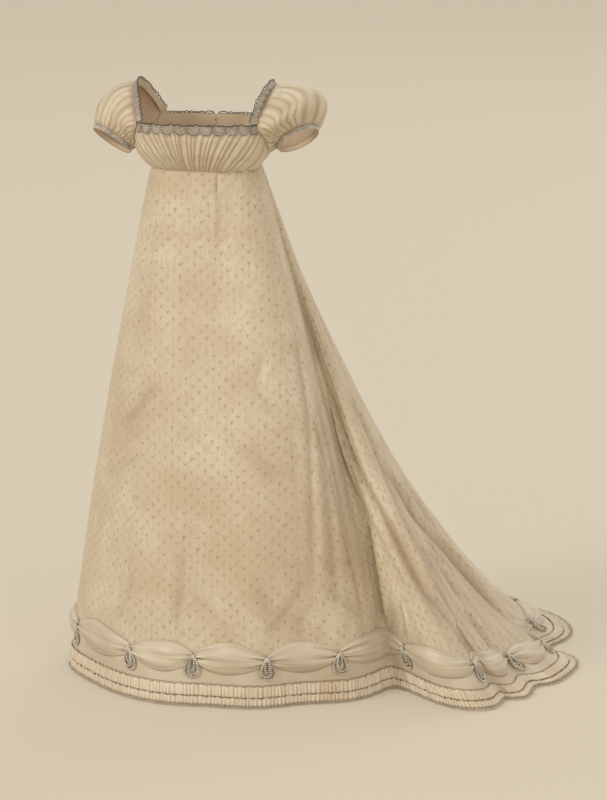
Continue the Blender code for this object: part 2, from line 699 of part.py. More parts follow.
def main():
    """Clear the scene and build every piece."""
    for thing in list(bpy.data.objects):
        bpy.data.objects.remove(thing, do_unlink=True)
    skirt = Skirt(COLUMNS_PER_LINE)
    make_skirt(skirt)
    make_band(skirt)
    make_flounces(skirt)
    make_swags(skirt)
    make_pendants(skirt)
    make_bodice()
    make_straps()
    make_lace()
    for sleeve in SLEEVES:
        make_sleeve(*sleeve)


main()
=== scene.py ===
"""The looks of the silk wedding dress: figured silk, lace, satin swags and beads.

Each cloth piece is worked out from the same tables as its solid, on a finer grid,
and takes the solid's place. Every length is in metres.
"""

from math import cos, pi, radians, sin

import bpy
import numpy as np
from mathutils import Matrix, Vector


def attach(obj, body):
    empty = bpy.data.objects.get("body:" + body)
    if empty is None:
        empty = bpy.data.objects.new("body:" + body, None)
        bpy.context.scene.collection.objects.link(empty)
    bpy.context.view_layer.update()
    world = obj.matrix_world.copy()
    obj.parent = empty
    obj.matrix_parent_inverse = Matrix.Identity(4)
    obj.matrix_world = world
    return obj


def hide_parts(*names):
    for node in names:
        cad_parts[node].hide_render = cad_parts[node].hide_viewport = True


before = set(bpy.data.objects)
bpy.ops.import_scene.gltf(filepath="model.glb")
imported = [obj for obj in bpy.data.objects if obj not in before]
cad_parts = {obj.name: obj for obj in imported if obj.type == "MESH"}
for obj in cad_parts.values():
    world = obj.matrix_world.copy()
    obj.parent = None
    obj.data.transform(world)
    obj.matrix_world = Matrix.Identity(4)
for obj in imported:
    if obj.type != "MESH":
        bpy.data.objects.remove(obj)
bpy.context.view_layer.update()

# Sizes shared with the solids.
WAIST_Z = -0.181
FLOOR_Z = -1.310
UNDERARM_Z = -0.138
SIDE_BACK_Z = -0.104
FRONT_NECK_Z = -0.080
BACK_NECK_Z = -0.084
SEAM_GAP = 0.0003
SILK = 0.0015
SATIN = 0.0012
# Body rings: height, half width, depth to the front, depth to the back.
BODY_RINGS = [
    (-0.181, 0.1155, 0.092, 0.092),
    (-0.163, 0.130, 0.109, 0.098),
    (-0.140, 0.142, 0.124, 0.104),
    (-0.110, 0.148, 0.134, 0.108),
    (-0.060, 0.150, 0.136, 0.108),
]
BODY_SQUARENESS = 3.0
FRONT_EDGE_DEG = -14.0
SIDE_BACK_DEG = 38.0
FRONT_CORNER_DEG = -32.0
BACK_CORNER_DEG = 44.0
FRONT_GATHERS = 25
FRONT_GATHER_HEIGHT = 0.0022
# Straps, from the front corner over the shoulder to the back corner: x, y, z.
STRAP_PATH = [
    (0.122, -0.102, -0.0790),
    (0.132, -0.082, -0.038),
    (0.144, -0.045, -0.011),
    (0.150, 0.000, -0.002),
    (0.144, 0.038, -0.014),
    (0.129, 0.070, -0.043),
    (0.1075, 0.0930, -0.0830),
]
STRAP_FRONT_DEG = (-44.6, -39.4)
STRAP_BACK_SPREAD = (55.6, 46.5)
STRAP_BEND_CENTRE = (0.0, 0.0, -0.09)
FRONT_LACE_INSET_DEG = 4.0
BACK_LACE_DEG = (54.0, 89.8)
STRAP_WIDTH = 0.013
FRONT_LACE_DEPTH = 0.022
EDGE_LACE_DEPTH = 0.010
FRONT_SCALLOPS = 11
BACK_SCALLOPS = 5
# The left armhole, every 30 degrees from the shoulder round by the front: x, y, z.
ARMHOLE = [
    (0.1545, 0.000, -0.0045),
    (0.1490, -0.0425, -0.0140),
    (0.1372, -0.0808, -0.0450),
    (0.1318, -0.1023, -0.0830),
    (0.1418, -0.0790, -0.1080),
    (0.1436, -0.0450, -0.1345),
    (0.1446, 0.000, -0.1420),
    (0.1424, 0.0430, -0.1325),
    (0.1348, 0.0716, -0.1120),
    (0.1181, 0.0906, -0.0785),
    (0.1328, 0.0715, -0.0440),
    (0.1490, 0.0385, -0.0170),
]
SLEEVE_CENTRE = (0.185, -0.010, -0.085)
ARMHOLE_STEPS = 8
CUFF_NORMAL = (0.48, -0.40, -0.78)
CUFF_RADIUS = 0.0450
# Each sleeve: side, cuff centre, and the puff's reach, rise and fullness.
SLEEVES = [
    ("left", (0.203, -0.026, -0.110), 0.096, 0.006, 0.055),
    ("right", (0.198, -0.030, -0.120), 0.062, -0.009, 0.018),
]
BRAID_WIDTH = 0.009
# Skirt lines: place, waist angle, hem x, hem y, and how fast each reaches and drops.
SKIRT_LINES = [
    ("left_side", 190, -0.305, -0.044, 1.25, 1.00),
    ("left_front", 213, -0.227, -0.172, 1.25, 1.00),
    ("left_front_seam", 232, -0.132, -0.262, 1.25, 1.00),
    ("front_left", 257, -0.028, -0.304, 1.30, 1.00),
    ("front", 282, 0.064, -0.304, 1.45, 1.00),
    ("front_right", 315, 0.165, -0.301, 1.90, 1.00),
    ("right_seam", 345, 0.253, -0.255, 2.40, 1.00),
    ("right_gore", 352, 0.334, -0.225, 2.00, 1.05),
    ("gore_ridge", 357, 0.390, -0.170, 1.60, 1.10),
    ("valley_c", 361, 0.435, -0.106, 1.30, 1.15),
    ("lobe_start", 364, 0.505, -0.155, 1.20, 1.20),
    ("lobe_near", 368, 0.577, -0.218, 1.15, 1.25),
    ("lobe_crest", 373, 0.640, -0.232, 1.15, 1.30),
    ("lobe_edge", 378, 0.676, -0.196, 1.10, 1.35),
    ("valley_a", 382, 0.688, -0.145, 1.10, 1.45),
    ("ridge_a", 386, 0.722, -0.137, 1.07, 1.48),
    ("ridge_a_edge", 390, 0.737, -0.088, 1.05, 1.50),
    ("valley_d", 394, 0.744, -0.043, 1.03, 1.52),
    ("ridge_d", 398, 0.776, -0.015, 1.02, 1.54),
    ("train_edge", 403, 0.800, 0.040, 1.00, 1.55),
    ("train_side", 408, 0.815, 0.113, 1.00, 1.56),
    ("train_fold", 413, 0.798, 0.186, 1.00, 1.58),
    ("valley_b", 418, 0.743, 0.248, 1.00, 1.60),
    ("back_lobe", 423, 0.770, 0.329, 1.00, 1.60),
    ("train_corner", 429, 0.769, 0.430, 1.00, 1.60),
    ("train_end", 436, 0.708, 0.536, 1.00, 1.60),
    ("train_back", 443, 0.599, 0.603, 1.00, 1.60),
    ("back_ridge_1", 451, 0.480, 0.618, 1.00, 1.60),
    ("back_valley_1", 460, 0.374, 0.558, 1.00, 1.60),
    ("back_ridge_2", 469, 0.257, 0.558, 1.00, 1.50),
    ("back_valley_2", 478, 0.154, 0.479, 1.00, 1.40),
    ("back_ridge_3", 489, 0.044, 0.444, 1.10, 1.30),
    ("back_valley_3", 502, -0.070, 0.338, 1.20, 1.20),
    ("back_left", 516, -0.187, 0.256, 1.25, 1.10),
    ("left_back", 531, -0.274, 0.114, 1.25, 1.00),
]
LINE_NAMES = [line[0] for line in SKIRT_LINES]
SKIRT_PANELS = [
    ("skirt_front", "left_front_seam", "right_seam"),
    ("skirt_gore_left", "right_seam", "ridge_d"),
    ("skirt_train_left", "ridge_d", "back_valley_1"),
    ("skirt_train_right", "back_valley_1", "back_left"),
    ("skirt_gore_right", "back_left", "left_front_seam"),
]
FLOUNCE_HEIGHT = 0.026
FLOUNCE_STAND = 0.0045
BAND_BOTTOM = 0.053
BAND_TOP = 0.112
SWAG_MIDDLE = 0.108
SWAG_HALF_HEIGHT = 0.035
SWAG_NECK = 0.006
SWAG_BULGE = 0.011
KNOT_SHARES = [0.019, 0.086, 0.131, 0.177, 0.224, 0.294, 0.359, 0.420, 0.477,
               0.541, 0.600, 0.660, 0.720, 0.780, 0.839, 0.899, 0.959]
SWAG_STRIP_STARTS = [0, 4, 8, 12]
PENDANT_LENGTH = 0.050
PENDANT_HALF_WIDTH = 0.0125
FOLDED = ("gore_ridge", "back_left")
FOLD_FADE = 0.60
FOLD_START = 0.06

# Colours, as red, green and blue.
SILK_BASE = (0.565, 0.470, 0.335)
SILK_PALE = (0.670, 0.605, 0.465)
SILK_TAN = (0.485, 0.355, 0.225)
# Painted shade in folds and hollows; also the darker worn patches of the flounce heading.
FOLD_SHADE_AND_WEAR_BROWN = (0.310, 0.215, 0.140)
SPRIG_BROWN = (0.290, 0.190, 0.105)
SATIN_BASE = (0.520, 0.435, 0.320)
SATIN_PALE = (0.660, 0.585, 0.460)
SATIN_TAN = (0.440, 0.330, 0.218)
# Painted light that lifts the shadow in the side gore's valley.
PAINTED_VALLEY_LIGHT = (0.860, 0.750, 0.560)
FLOUNCE_BASE = (0.650, 0.550, 0.410)
FLOUNCE_PALE = (0.760, 0.675, 0.545)
LINING_TAN = (0.660, 0.520, 0.375)
LINING_DARK = (0.520, 0.380, 0.255)
LACE_BASE = (0.345, 0.290, 0.225)
LACE_PALE = (0.480, 0.420, 0.345)
LACE_DARK = (0.115, 0.085, 0.060)
BEAD_BASE = (0.620, 0.575, 0.490)
BEAD_PALE = (0.800, 0.760, 0.680)
BEAD_DARK = (0.150, 0.125, 0.095)
# Near-black of the picots and hooks; along the lace's top the picots also paint its shadow line.
PICOT_DARK = (0.060, 0.045, 0.035)
EDGE_BROWN = (0.300, 0.232, 0.165)
FLOOR = (0.360, 0.335, 0.275)
FLOOR_GLOW = (0.290, 0.240, 0.177)

# The woven sprig: repeat across and down, and its leaves.
SPRIG_ACROSS = 0.030
SPRIG_DROP = 0.0130
SPRIG_LEAF = 0.0052
SPRIG_SPREAD = 1.35
SPRIG_DEPTH = 0.0016
SPRIG_THICK = 0.0021
SPRIG_BLOT = (0.0019, 0.0036)

# Creases on the skirt: line and share up the cloth where each starts and ends, then
# its width and how deep it lies. A negative depth is a ridge.
CREASES = [
    (1.2, 0.50, 2.6, 0.60, 0.014, 0.0035),
    (0.6, 0.40, 2.2, 0.46, 0.012, 0.0030),
    (5.6, 0.42, 4.6, 0.50, 0.014, 0.0035),
    (5.4, 0.16, 4.9, 0.24, 0.012, 0.0030),
    (3.0, 0.14, 3.3, 0.22, 0.012, 0.0025),
    (1.6, 0.13, 1.9, 0.22, 0.012, 0.0030),
    (4.1, 0.86, 4.1, 0.995, 0.006, 0.0040),
    (7.0, 0.12, 7.0, 0.55, 0.012, 0.0040),
    (8.0, 0.14, 7.4, 0.62, 0.014, 0.0050),
    (12.2, 0.13, 11.2, 0.40, 0.016, 0.0050),
    (16.0, 0.13, 15.0, 0.36, 0.016, 0.0050),
    (20.0, 0.13, 19.0, 0.45, 0.020, 0.0060),
    (22.0, 0.13, 21.0, 0.50, 0.020, 0.0060),
    (24.5, 0.15, 24.0, 0.45, 0.018, 0.0050),
    (27.5, 0.15, 27.8, 0.60, 0.022, 0.0060),
    (30.0, 0.14, 30.0, 0.60, 0.022, 0.0060),
    (32.2, 0.14, 31.8, 0.60, 0.020, 0.0060),
    (33.6, 0.16, 33.4, 0.50, 0.018, 0.0040),
    (34.6, 0.30, 33.9, 0.40, 0.014, 0.0035),
]
# Long folds: their places as line and share up the cloth, then width, depth and shade.
FOLDS = [
    ([(9.9, 0.62), (10.2, 0.52), (10.6, 0.42), (11.15, 0.345), (11.65, 0.276), (12.4, 0.213),
      (13.3, 0.145), (14.2, 0.085)], 0.015, 0.0105, 0.70),
    ([(12.2, 0.66), (12.8, 0.57), (14.4, 0.50), (16.2, 0.43), (17.8, 0.37), (19.1, 0.30),
      (19.9, 0.22), (20.3, 0.15), (20.5, 0.09)], 0.017, 0.0100, 0.95),
    ([(9.8, 0.335), (9.35, 0.22), (8.95, 0.115)], 0.013, 0.0070, 0.75),
    ([(10.35, 0.185), (10.0, 0.10)], 0.009, 0.0040, 0.80),
    ([(16.8, 0.19), (16.75, 0.12), (17.0, 0.08)], 0.012, 0.0070, 0.75),
    ([(6.75, 0.55), (7.1, 0.48), (7.93, 0.20), (8.0, 0.13)], 0.006, 0.0030, 0.55),
    ([(6.7, 0.72), (6.65, 0.54), (6.43, 0.38), (6.29, 0.16)], 0.009, 0.0034, 0.50),
    ([(9.1, 0.55), (9.3, 0.44), (9.7, 0.36)], 0.009, 0.0035, 0.50),
    ([(15.4, 0.36), (16.6, 0.27), (17.6, 0.20)], 0.012, 0.0050, 0.60),
    ([(8.0, 0.26), (6.9, 0.245), (6.4, 0.28)], 0.008, 0.0030, 0.45),
    ([(7.9, 0.145), (7.1, 0.19), (6.4, 0.225)], 0.008, 0.0030, 0.45),
    ([(5.2, 0.135), (5.7, 0.18), (6.25, 0.235)], 0.011, 0.0026, 0.24),
    ([(1.2, 0.50), (2.0, 0.56), (2.6, 0.60)], 0.012, 0.0020, 0.20),
    ([(5.4, 0.66), (5.1, 0.60), (5.6, 0.54)], 0.012, 0.0030, 0.45),
    ([(3.2, 0.13), (3.35, 0.30)], 0.016, 0.0022, 0.40),
    ([(1.75, 0.14), (2.1, 0.24)], 0.010, 0.0024, 0.35),
    ([(4.0, 0.998), (4.0, 0.955)], 0.004, 0.0030, 0.80),
    ([(24.0, 0.70), (24.6, 0.45), (25.4, 0.25), (26.0, 0.12)], 0.017, 0.0090, 0.80),
    ([(27.0, 0.75), (27.6, 0.50), (28.2, 0.30), (28.4, 0.12)], 0.018, 0.0100, 0.80),
    ([(29.6, 0.66), (30.4, 0.45), (31.0, 0.28), (31.2, 0.12)], 0.016, 0.0080, 0.75),
]
# How much painted shade the cloth's own hollows take, and how deep one is at its darkest.
HOLLOW_SHADE = 0.05
HOLLOW_DEPTH = 0.012
# Painted light against the shadow in the side gore's valley: lines, shares up the cloth, and how
# much.
VALLEY = (8.0, 11.8, 0.10, 0.70, 0.95)
# A long fold's soft shade on its deeper side, and the width over which its sides change.
FOLD_SOFT = 0.30
SIDE_BLEND = 0.003
# The depth at which a short crease is darkest, and the height below which none runs.
DARKEST_CREASE = 0.010
CREASE_FOOT = 0.125
# Slight waves all over the cloth, and the puckers above the swags with their height.
RIPPLE_RISE = 0.0009
PUCKER_RISE = 0.0014
PUCKER_PLACE = 0.150
# Painted shade over the side gore and train: first and last line, and how much.
WASH = (6.6, 23.0, 0.05)
# The panels' seams: how far the edges sink, their shade, and how far they part.
SEAM_SINK = 0.0003
SEAM_SHADE = 0.07
SEAM_PART = 0.00005

# Gathers at the back of the waist: the middle line, lines to each side, and gathers a line.
BACK_LINE = 27.5
BACK_REACH = 9.0
BACK_GATHERS = 2.0
BACK_GATHER_RISE = 0.0030
BACK_GATHER_FALL = 0.26

# The flounces: gathers round the hem, steps a gather, and rows as shares of the height.
FLOUNCE_WAVES = 400
FLOUNCE_FINE = 8
FLOUNCE_ROWS = [0.0, 0.2, 0.45, 0.7, 0.86, 0.93, 1.0]
FLOUNCE_FRILL = 0.0008
FLOUNCE_DIP = 0.0012
FLOUNCE_CLEAR = 0.0014
HEADING_STAND = 0.0012
HEADING_WANDER = 0.0014
HEADING_RADIUS = 0.0006
# The band: rows, and the height of its slight waves.
BAND_ROWS = 10
BAND_WAVE = 0.0009
# The swags: steps along each, rows, and the height of their creases and seat.
SWAG_FINE = 44
SWAG_ROWS = 27
SWAG_DRAPE = 0.0016
SWAG_CREASE = 0.0036
SWAG_SEAT = 0.0012
# Strings of beads at a knot: how much shorter, share of the width, lean, swing, radius, lift.
STRANDS = [
    (0.002, 1.10, 0.00, 0.00, 0.00235, 0.0026),
    (0.009, 0.72, 0.00, 0.10, 0.00215, 0.0044),
    (0.018, 0.34, -0.04, 0.00, 0.00200, 0.0036),
]
# How far a string stands off the cloth at each drop below its knot.
PENDANT_DROPS = [0.0, 0.010, 0.030, 0.050]
PENDANT_SEATS = [0.0070, 0.0066, 0.0046, 0.0030]
ROSETTE_BEADS = 7
ROSETTE_RADIUS = 0.0042
ROSETTE_DROP = 0.004
# A rosette's ring beads and its middle bead: how far each stands out, and its radius.
RING_BEAD = (0.0098, 0.0018)
MIDDLE_BEAD = (0.0112, 0.0026)
PENDANT_CORD_RADIUS = 0.0016
BEAD_SPACING = 2.12
# Lace: rows of its net, how far it stands above the neck, its steps across the front,
# and its rings by place, drop and half sizes.
LACE_ROWS = 9
FRONT_LACE_RISE = 0.0022
BACK_LACE_RISE = 0.0030
FRONT_LACE_STEPS = 861
FRONT_RINGS = [
    (0.50, 0.60, 0.13, 0.15),
    (0.24, 0.44, 0.12, 0.12),
    (0.76, 0.44, 0.12, 0.12),
    (0.50, 0.28, 0.18, 0.13),
    (0.02, 0.24, 0.15, 0.12),
]
EDGE_RINGS = [(0.5, 0.62, 0.17, 0.16), (0.2, 0.36, 0.17, 0.16), (0.8, 0.36, 0.17, 0.16)]
PICOT_STARTS = (0.02, 0.52)
PICOT_HALF = 0.23
STRAP_LACE_DEPTH = 0.0140
STRAP_SCALLOPS = 15

# Gathers of the bodice: where they meet below, and how far they lean, in gathers.
FAN_SHARE = 0.44
FAN_LEAN = 3.2
SLEEVE_FOLDS = 31
SLEEVE_TWIST = 0.55
GATHER_Z = -0.12
GATHER_RISE = 0.0040
SLEEVE_RISE = 0.0036
SLEEVE_STEPS = 312
SLEEVE_ROWS = 46
# Rows of beads on a cuff: distance down, bead radius and lift. Then its two cords.
CUFF_ROWS = [(0.0018, 0.0019, 0.0018), (0.0052, 0.0023, 0.0022), (0.0085, 0.0019, 0.0018)]
CUFF_CORDS = (0.0003, 0.0100)
HOOKS = 4
HOOK_RADIUS = 0.0022
# Rows and steps of the bodice and straps, and where their cloth's back and lining lie.
FRONT_ROWS = 34
SIDE_ROWS = 26
SIDE_STEPS = 40
STRAP_ROWS = 11
STRAP_BLEND = 14
CLOTH_BACK = 0.0007
LINING_FACE = 0.0004
SHORTEST_SHEET = 0.010
LACE_FACING = 0.85

# The looped thread below the lower flounce.
LOOP_PITCH = 0.0086
LOOP_FINE = 10
LOOP_LIFT = 0.0006
LOOP_RADIUS = 0.0005
LOOP_SWING = 0.0050
LOOP_RISE = 0.0043
FOOT_LACE = 0.0072
SKY = (0.97, 0.925, 0.835)
SKY_STRENGTH = 0.74
FLOOR_HALF = 40.0
# Lights: name, place, power in watts, width, and colour.
LIGHTS = [
    ("key", (-8.5, -9.0, 7.0), 860.0, 4.0, (0.98, 0.95, 0.89)),
    ("fill", (9.5, -11.5, 3.0), 430.0, 7.0, (1.0, 0.96, 0.91)),
    ("back", (3.5, 9.0, 7.0), 270.0, 7.0, (1.0, 0.96, 0.90)),
]
LIGHT_AIM = (0.15, 0.0, -0.75)
CAMERA_PLACE = (1.4744, -7.1526, 0.9)
CAMERA_AIM = (0.2068, 0.0365, -0.703)
CAMERA_LENS = 152.88

# Finer grids than the solids': columns a line of the skirt, and rows.
SKIRT_COLUMNS = 14
TRIM_TOP = 0.160
TRIM_STEPS = 20
UPPER_STEPS = 72
LINE_STEPS = 400

MIRROR = np.array([-1.0, 1.0, 1.0])
LEVEL = np.array([1.0, 1.0, 0.0])
HANDS = ("left", "right")
# The first and last column of a grid, each with the one beside it.
EDGES = ((0, 1), (-1, -2))

random = np.random.default_rng(7)


def closed_curve(table, places, columns_per_line, lap):
    """A smooth closed curve through the rows; places are the columns that give distance."""
    rows = np.array(table, float)
    count = len(rows)
    ahead = np.roll(rows, -1, axis=0)
    ahead[-1, 0] += lap
    chord = np.linalg.norm(ahead[:, places] - rows[:, places], axis=1)
    step = np.sqrt(chord)
    rise = (ahead - rows) / step[:, None]
    before = np.roll(step, 1)
    system = np.zeros((count, count))
    target = np.zeros(rows.shape)
    for i in range(count):
        system[i, i - 1] = step[i]
        system[i, i] = 2.0 * (step[i] + before[i])
        system[i, (i + 1) % count] = before[i]
        target[i] = 3.0 * (before[i] * rise[i] + step[i] * rise[i - 1])
    slope = np.linalg.solve(system, target)
    columns = []
    for i in range(count):
        for part in range(columns_per_line):
            s = part / columns_per_line
            h = step[i]
            start = (1 + 2 * s) * (1 - s) ** 2 * rows[i] + s * (1 - s) ** 2 * h * slope[i]
            end = s * s * (3 - 2 * s) * ahead[i] + s * s * (s - 1) * h * slope[(i + 1) % count]
            columns.append(start + end)
    return np.array(columns)


def unit(vectors):
    """The same vectors at length one."""
    return vectors / np.maximum(np.linalg.norm(vectors, axis=-1, keepdims=True), 1e-9)


def smooth(values):
    """A soft step from 0 to 1."""
    values = np.clip(values, 0.0, 1.0)
    return values * values * (3.0 - 2.0 * values)


def body_points(degrees, z):
    """Points on the inside of the bodice."""
    degrees, z = np.broadcast_arrays(np.asarray(degrees, float), np.asarray(z, float))
    rings = np.array(BODY_RINGS)
    half_width, front, back = [np.interp(z, rings[:, 0], rings[:, k]) for k in (1, 2, 3)]
    c, s = np.cos(np.radians(degrees)), np.sin(np.radians(degrees))
    power = 2.0 / BODY_SQUARENESS
    depth = np.where(s > 0, back, front)
    x = half_width * np.sign(c) * abs(c) ** power
    y = depth * np.sign(s) * abs(s) ** power
    return np.stack([x, y, z], axis=-1)


def even_degrees(start, end, z, count):
    """Angles between two angles, evenly spaced along the body at a height."""
    fine = np.linspace(start, end, 6001)
    run = np.linalg.norm(np.diff(body_points(fine, z), axis=0), axis=1)
    run = np.concatenate([[0.0], np.cumsum(run)])
    return np.interp(np.linspace(0.0, run[-1], count), run, fine)


def grid_normals(points, closed=False):
    """Outward unit normals of a grid of rows from bottom to top."""
    up = np.gradient(points, axis=0)
    if closed:
        along = np.roll(points, -1, axis=1) - np.roll(points, 1, axis=1)
    else:
        along = np.gradient(points, axis=1)
    return unit(np.cross(along, up))


def mirrored(grid):
    """The same grid on the other side of the dress, with its columns reversed."""
    return (grid * MIRROR)[:, ::-1]


def part_edges(grid, gap):
    """Draw the first and last columns of a grid in by a gap."""
    for edge, next_one in EDGES:
        grid[:, edge] += unit(grid[:, next_one] - grid[:, edge]) * gap


def along_rows(place, run, rows):
    """Rows of numbers, read off at places along their run."""
    return np.stack([np.interp(place, run, column) for column in np.transpose(rows)], axis=-1)


def link(name, data):
    """A new object in the scene."""
    made = bpy.data.objects.new(name, data)
    bpy.context.scene.collection.objects.link(made)
    return made


def finish_mesh(name, mesh, material, nodes):
    """Link a mesh as a piece that rides on the dress and stands for its solids."""
    mesh.materials.append(material)
    mesh.validate()
    mesh.shade_smooth()
    mesh.set_sharp_from_angle(angle=radians(70.0))
    piece = link(name, mesh)
    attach(piece, "root")
    if nodes:
        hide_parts(*nodes)
    return piece


def cloth_uv(points, down):
    """Cloth places in metres: the distance from the middle column, and down the cloth."""
    steps = np.linalg.norm(np.diff(points, axis=1), axis=-1)
    across = np.concatenate([np.zeros((len(points), 1)), np.cumsum(steps, axis=1)], axis=1)
    across -= across[:, points.shape[1] // 2][:, None]
    if down is None:
        climb = np.linalg.norm(np.diff(points, axis=0), axis=-1)
        down = -np.concatenate([np.zeros((1, points.shape[1])), np.cumsum(climb, axis=0)])
    return np.stack([across, down], axis=-1)


def shell(name, nodes, outer, inner, material, closed=False, down=None, shade=None):
    """A thin cloth shell between two grids of points, rows first."""
    rows, columns = outer.shape[:2]
    count = rows * columns
    points = np.concatenate([outer.reshape(-1, 3), inner.reshape(-1, 3)])
    last = columns if closed else columns - 1
    r, c = np.meshgrid(np.arange(rows - 1), np.arange(last), indexing="ij")
    after = (c + 1) % columns
    front = np.stack([r * columns + c, r * columns + after,
                      (r + 1) * columns + after, (r + 1) * columns + c], axis=-1).reshape(-1, 4)
    back = front[:, ::-1] + count
    c = np.arange(last)
    after = (c + 1) % columns
    low = np.stack([c + count, after + count, after, c], axis=-1)
    top = (rows - 1) * columns
    high = np.stack([top + c, top + after, top + after + count, top + c + count], axis=-1)
    quads = [front, back, low, high]
    if not closed:
        r = np.arange(rows - 1) * columns
        quads.append(np.stack([r + count, r, r + columns, r + columns + count], axis=-1))
        r = r + columns - 1
        quads.append(np.stack([r, r + count, r + columns + count, r + columns], axis=-1))
    faces = np.concatenate(quads)
    mesh = bpy.data.meshes.new(name)
    mesh.vertices.add(len(points))
    mesh.vertices.foreach_set("co", points.ravel())
    mesh.loops.add(faces.size)
    mesh.loops.foreach_set("vertex_index", faces.ravel())
    mesh.polygons.add(len(faces))
    mesh.polygons.foreach_set("loop_start", np.arange(0, faces.size, 4))
    mesh.update(calc_edges=True)
    places = cloth_uv(outer, down).reshape(-1, 2)
    places = np.concatenate([places, places])
    layer = mesh.uv_layers.new(name="cloth")
    layer.data.foreach_set("uv", places[faces.ravel()].ravel())
    tone = mesh.attributes.new("tone", "FLOAT", "POINT")
    values = np.zeros(count) if shade is None else shade.ravel()
    tone.data.foreach_set("value", np.concatenate([values, values]))
    return finish_mesh(name, mesh, material, nodes)


def declare(grid, closed=False):
    """Work out the width, length and area of the flat cut that a grid was made from; none of them is
    kept.
    """
    ring = np.concatenate([grid, grid[:, :1]], axis=1) if closed else grid
    across = np.linalg.norm(np.diff(ring, axis=1), axis=-1)
    up = np.linalg.norm(np.diff(grid, axis=0), axis=-1)
    width = round(float(across.sum(axis=1).max()), 3)
    length = max(round(float(up.sum(axis=0).max()), 3), SHORTEST_SHEET)
    a, b = np.diff(ring, axis=1)[:-1], np.diff(ring, axis=0)[:, :-1]
    area = float(np.linalg.norm(np.cross(a, b), axis=-1).sum())
    area = round(min(max(area, 0.3 * width * length), width * length), 4)


def tubes(name, nodes, paths, radius, material, sides=6):
    """Round threads along closed or open paths, joined into one piece."""
    points, faces = [], []
    for path, closed in paths:
        path = np.asarray(path)
        count = len(path)
        if closed:
            along = unit(np.roll(path, -1, axis=0) - np.roll(path, 1, axis=0))
        else:
            along = unit(np.gradient(path, axis=0))
        helper = np.array([0.31, 0.17, 0.93])
        side = unit(np.cross(along, helper))
        other = np.cross(side, along)
        start = len(points)
        turn = 2 * pi * np.arange(sides) / sides
        ring = side[:, None] * np.cos(turn)[:, None] + other[:, None] * np.sin(turn)[:, None]
        points.extend((path[:, None] + ring * radius).reshape(-1, 3))
        for i in range(count if closed else count - 1):
            j = (i + 1) % count
            for k in range(sides):
                m = (k + 1) % sides
                faces.append((start + i * sides + k, start + i * sides + m,
                              start + j * sides + m, start + j * sides + k))
        if not closed:
            faces.append(tuple(start + k for k in range(sides))[::-1])
            faces.append(tuple(start + (count - 1) * sides + k for k in range(sides)))
    mesh = bpy.data.meshes.new(name)
    mesh.from_pydata([tuple(p) for p in points], [], faces)
    return finish_mesh(name, mesh, material, nodes)


def bead_shape():
    """Points and faces of one small round bead."""
    rings, turns = 4, 7
    points = [(0.0, 0.0, 1.0)]
    for ring in range(1, rings):
        a = pi * ring / rings
        points += [(sin(a) * cos(2 * pi * t / turns), sin(a) * sin(2 * pi * t / turns), cos(a))
                   for t in range(turns)]
    points.append((0.0, 0.0, -1.0))
    faces = []
    for t in range(turns):
        u = (t + 1) % turns
        faces.append((0, 1 + t, 1 + u))
        for ring in range(rings - 2):
            a, b = 1 + ring * turns, 1 + (ring + 1) * turns
            faces.append((a + t, b + t, b + u, a + u))
        last = 1 + (rings - 2) * turns
        faces.append((last + t, len(points) - 1, last + u))
    return np.array(points), faces


def beads(name, nodes, centres, radii, material):
    """Many small beads joined into one piece."""
    shape, shape_faces = bead_shape()
    points, faces = [], []
    for centre, radius in zip(centres, radii):
        start = len(points)
        points.extend(shape * radius + centre)
        faces.extend(tuple(start + i for i in face) for face in shape_faces)
    mesh = bpy.data.meshes.new(name)
    mesh.from_pydata([tuple(p) for p in points], [], faces)
    return finish_mesh(name, mesh, material, nodes)


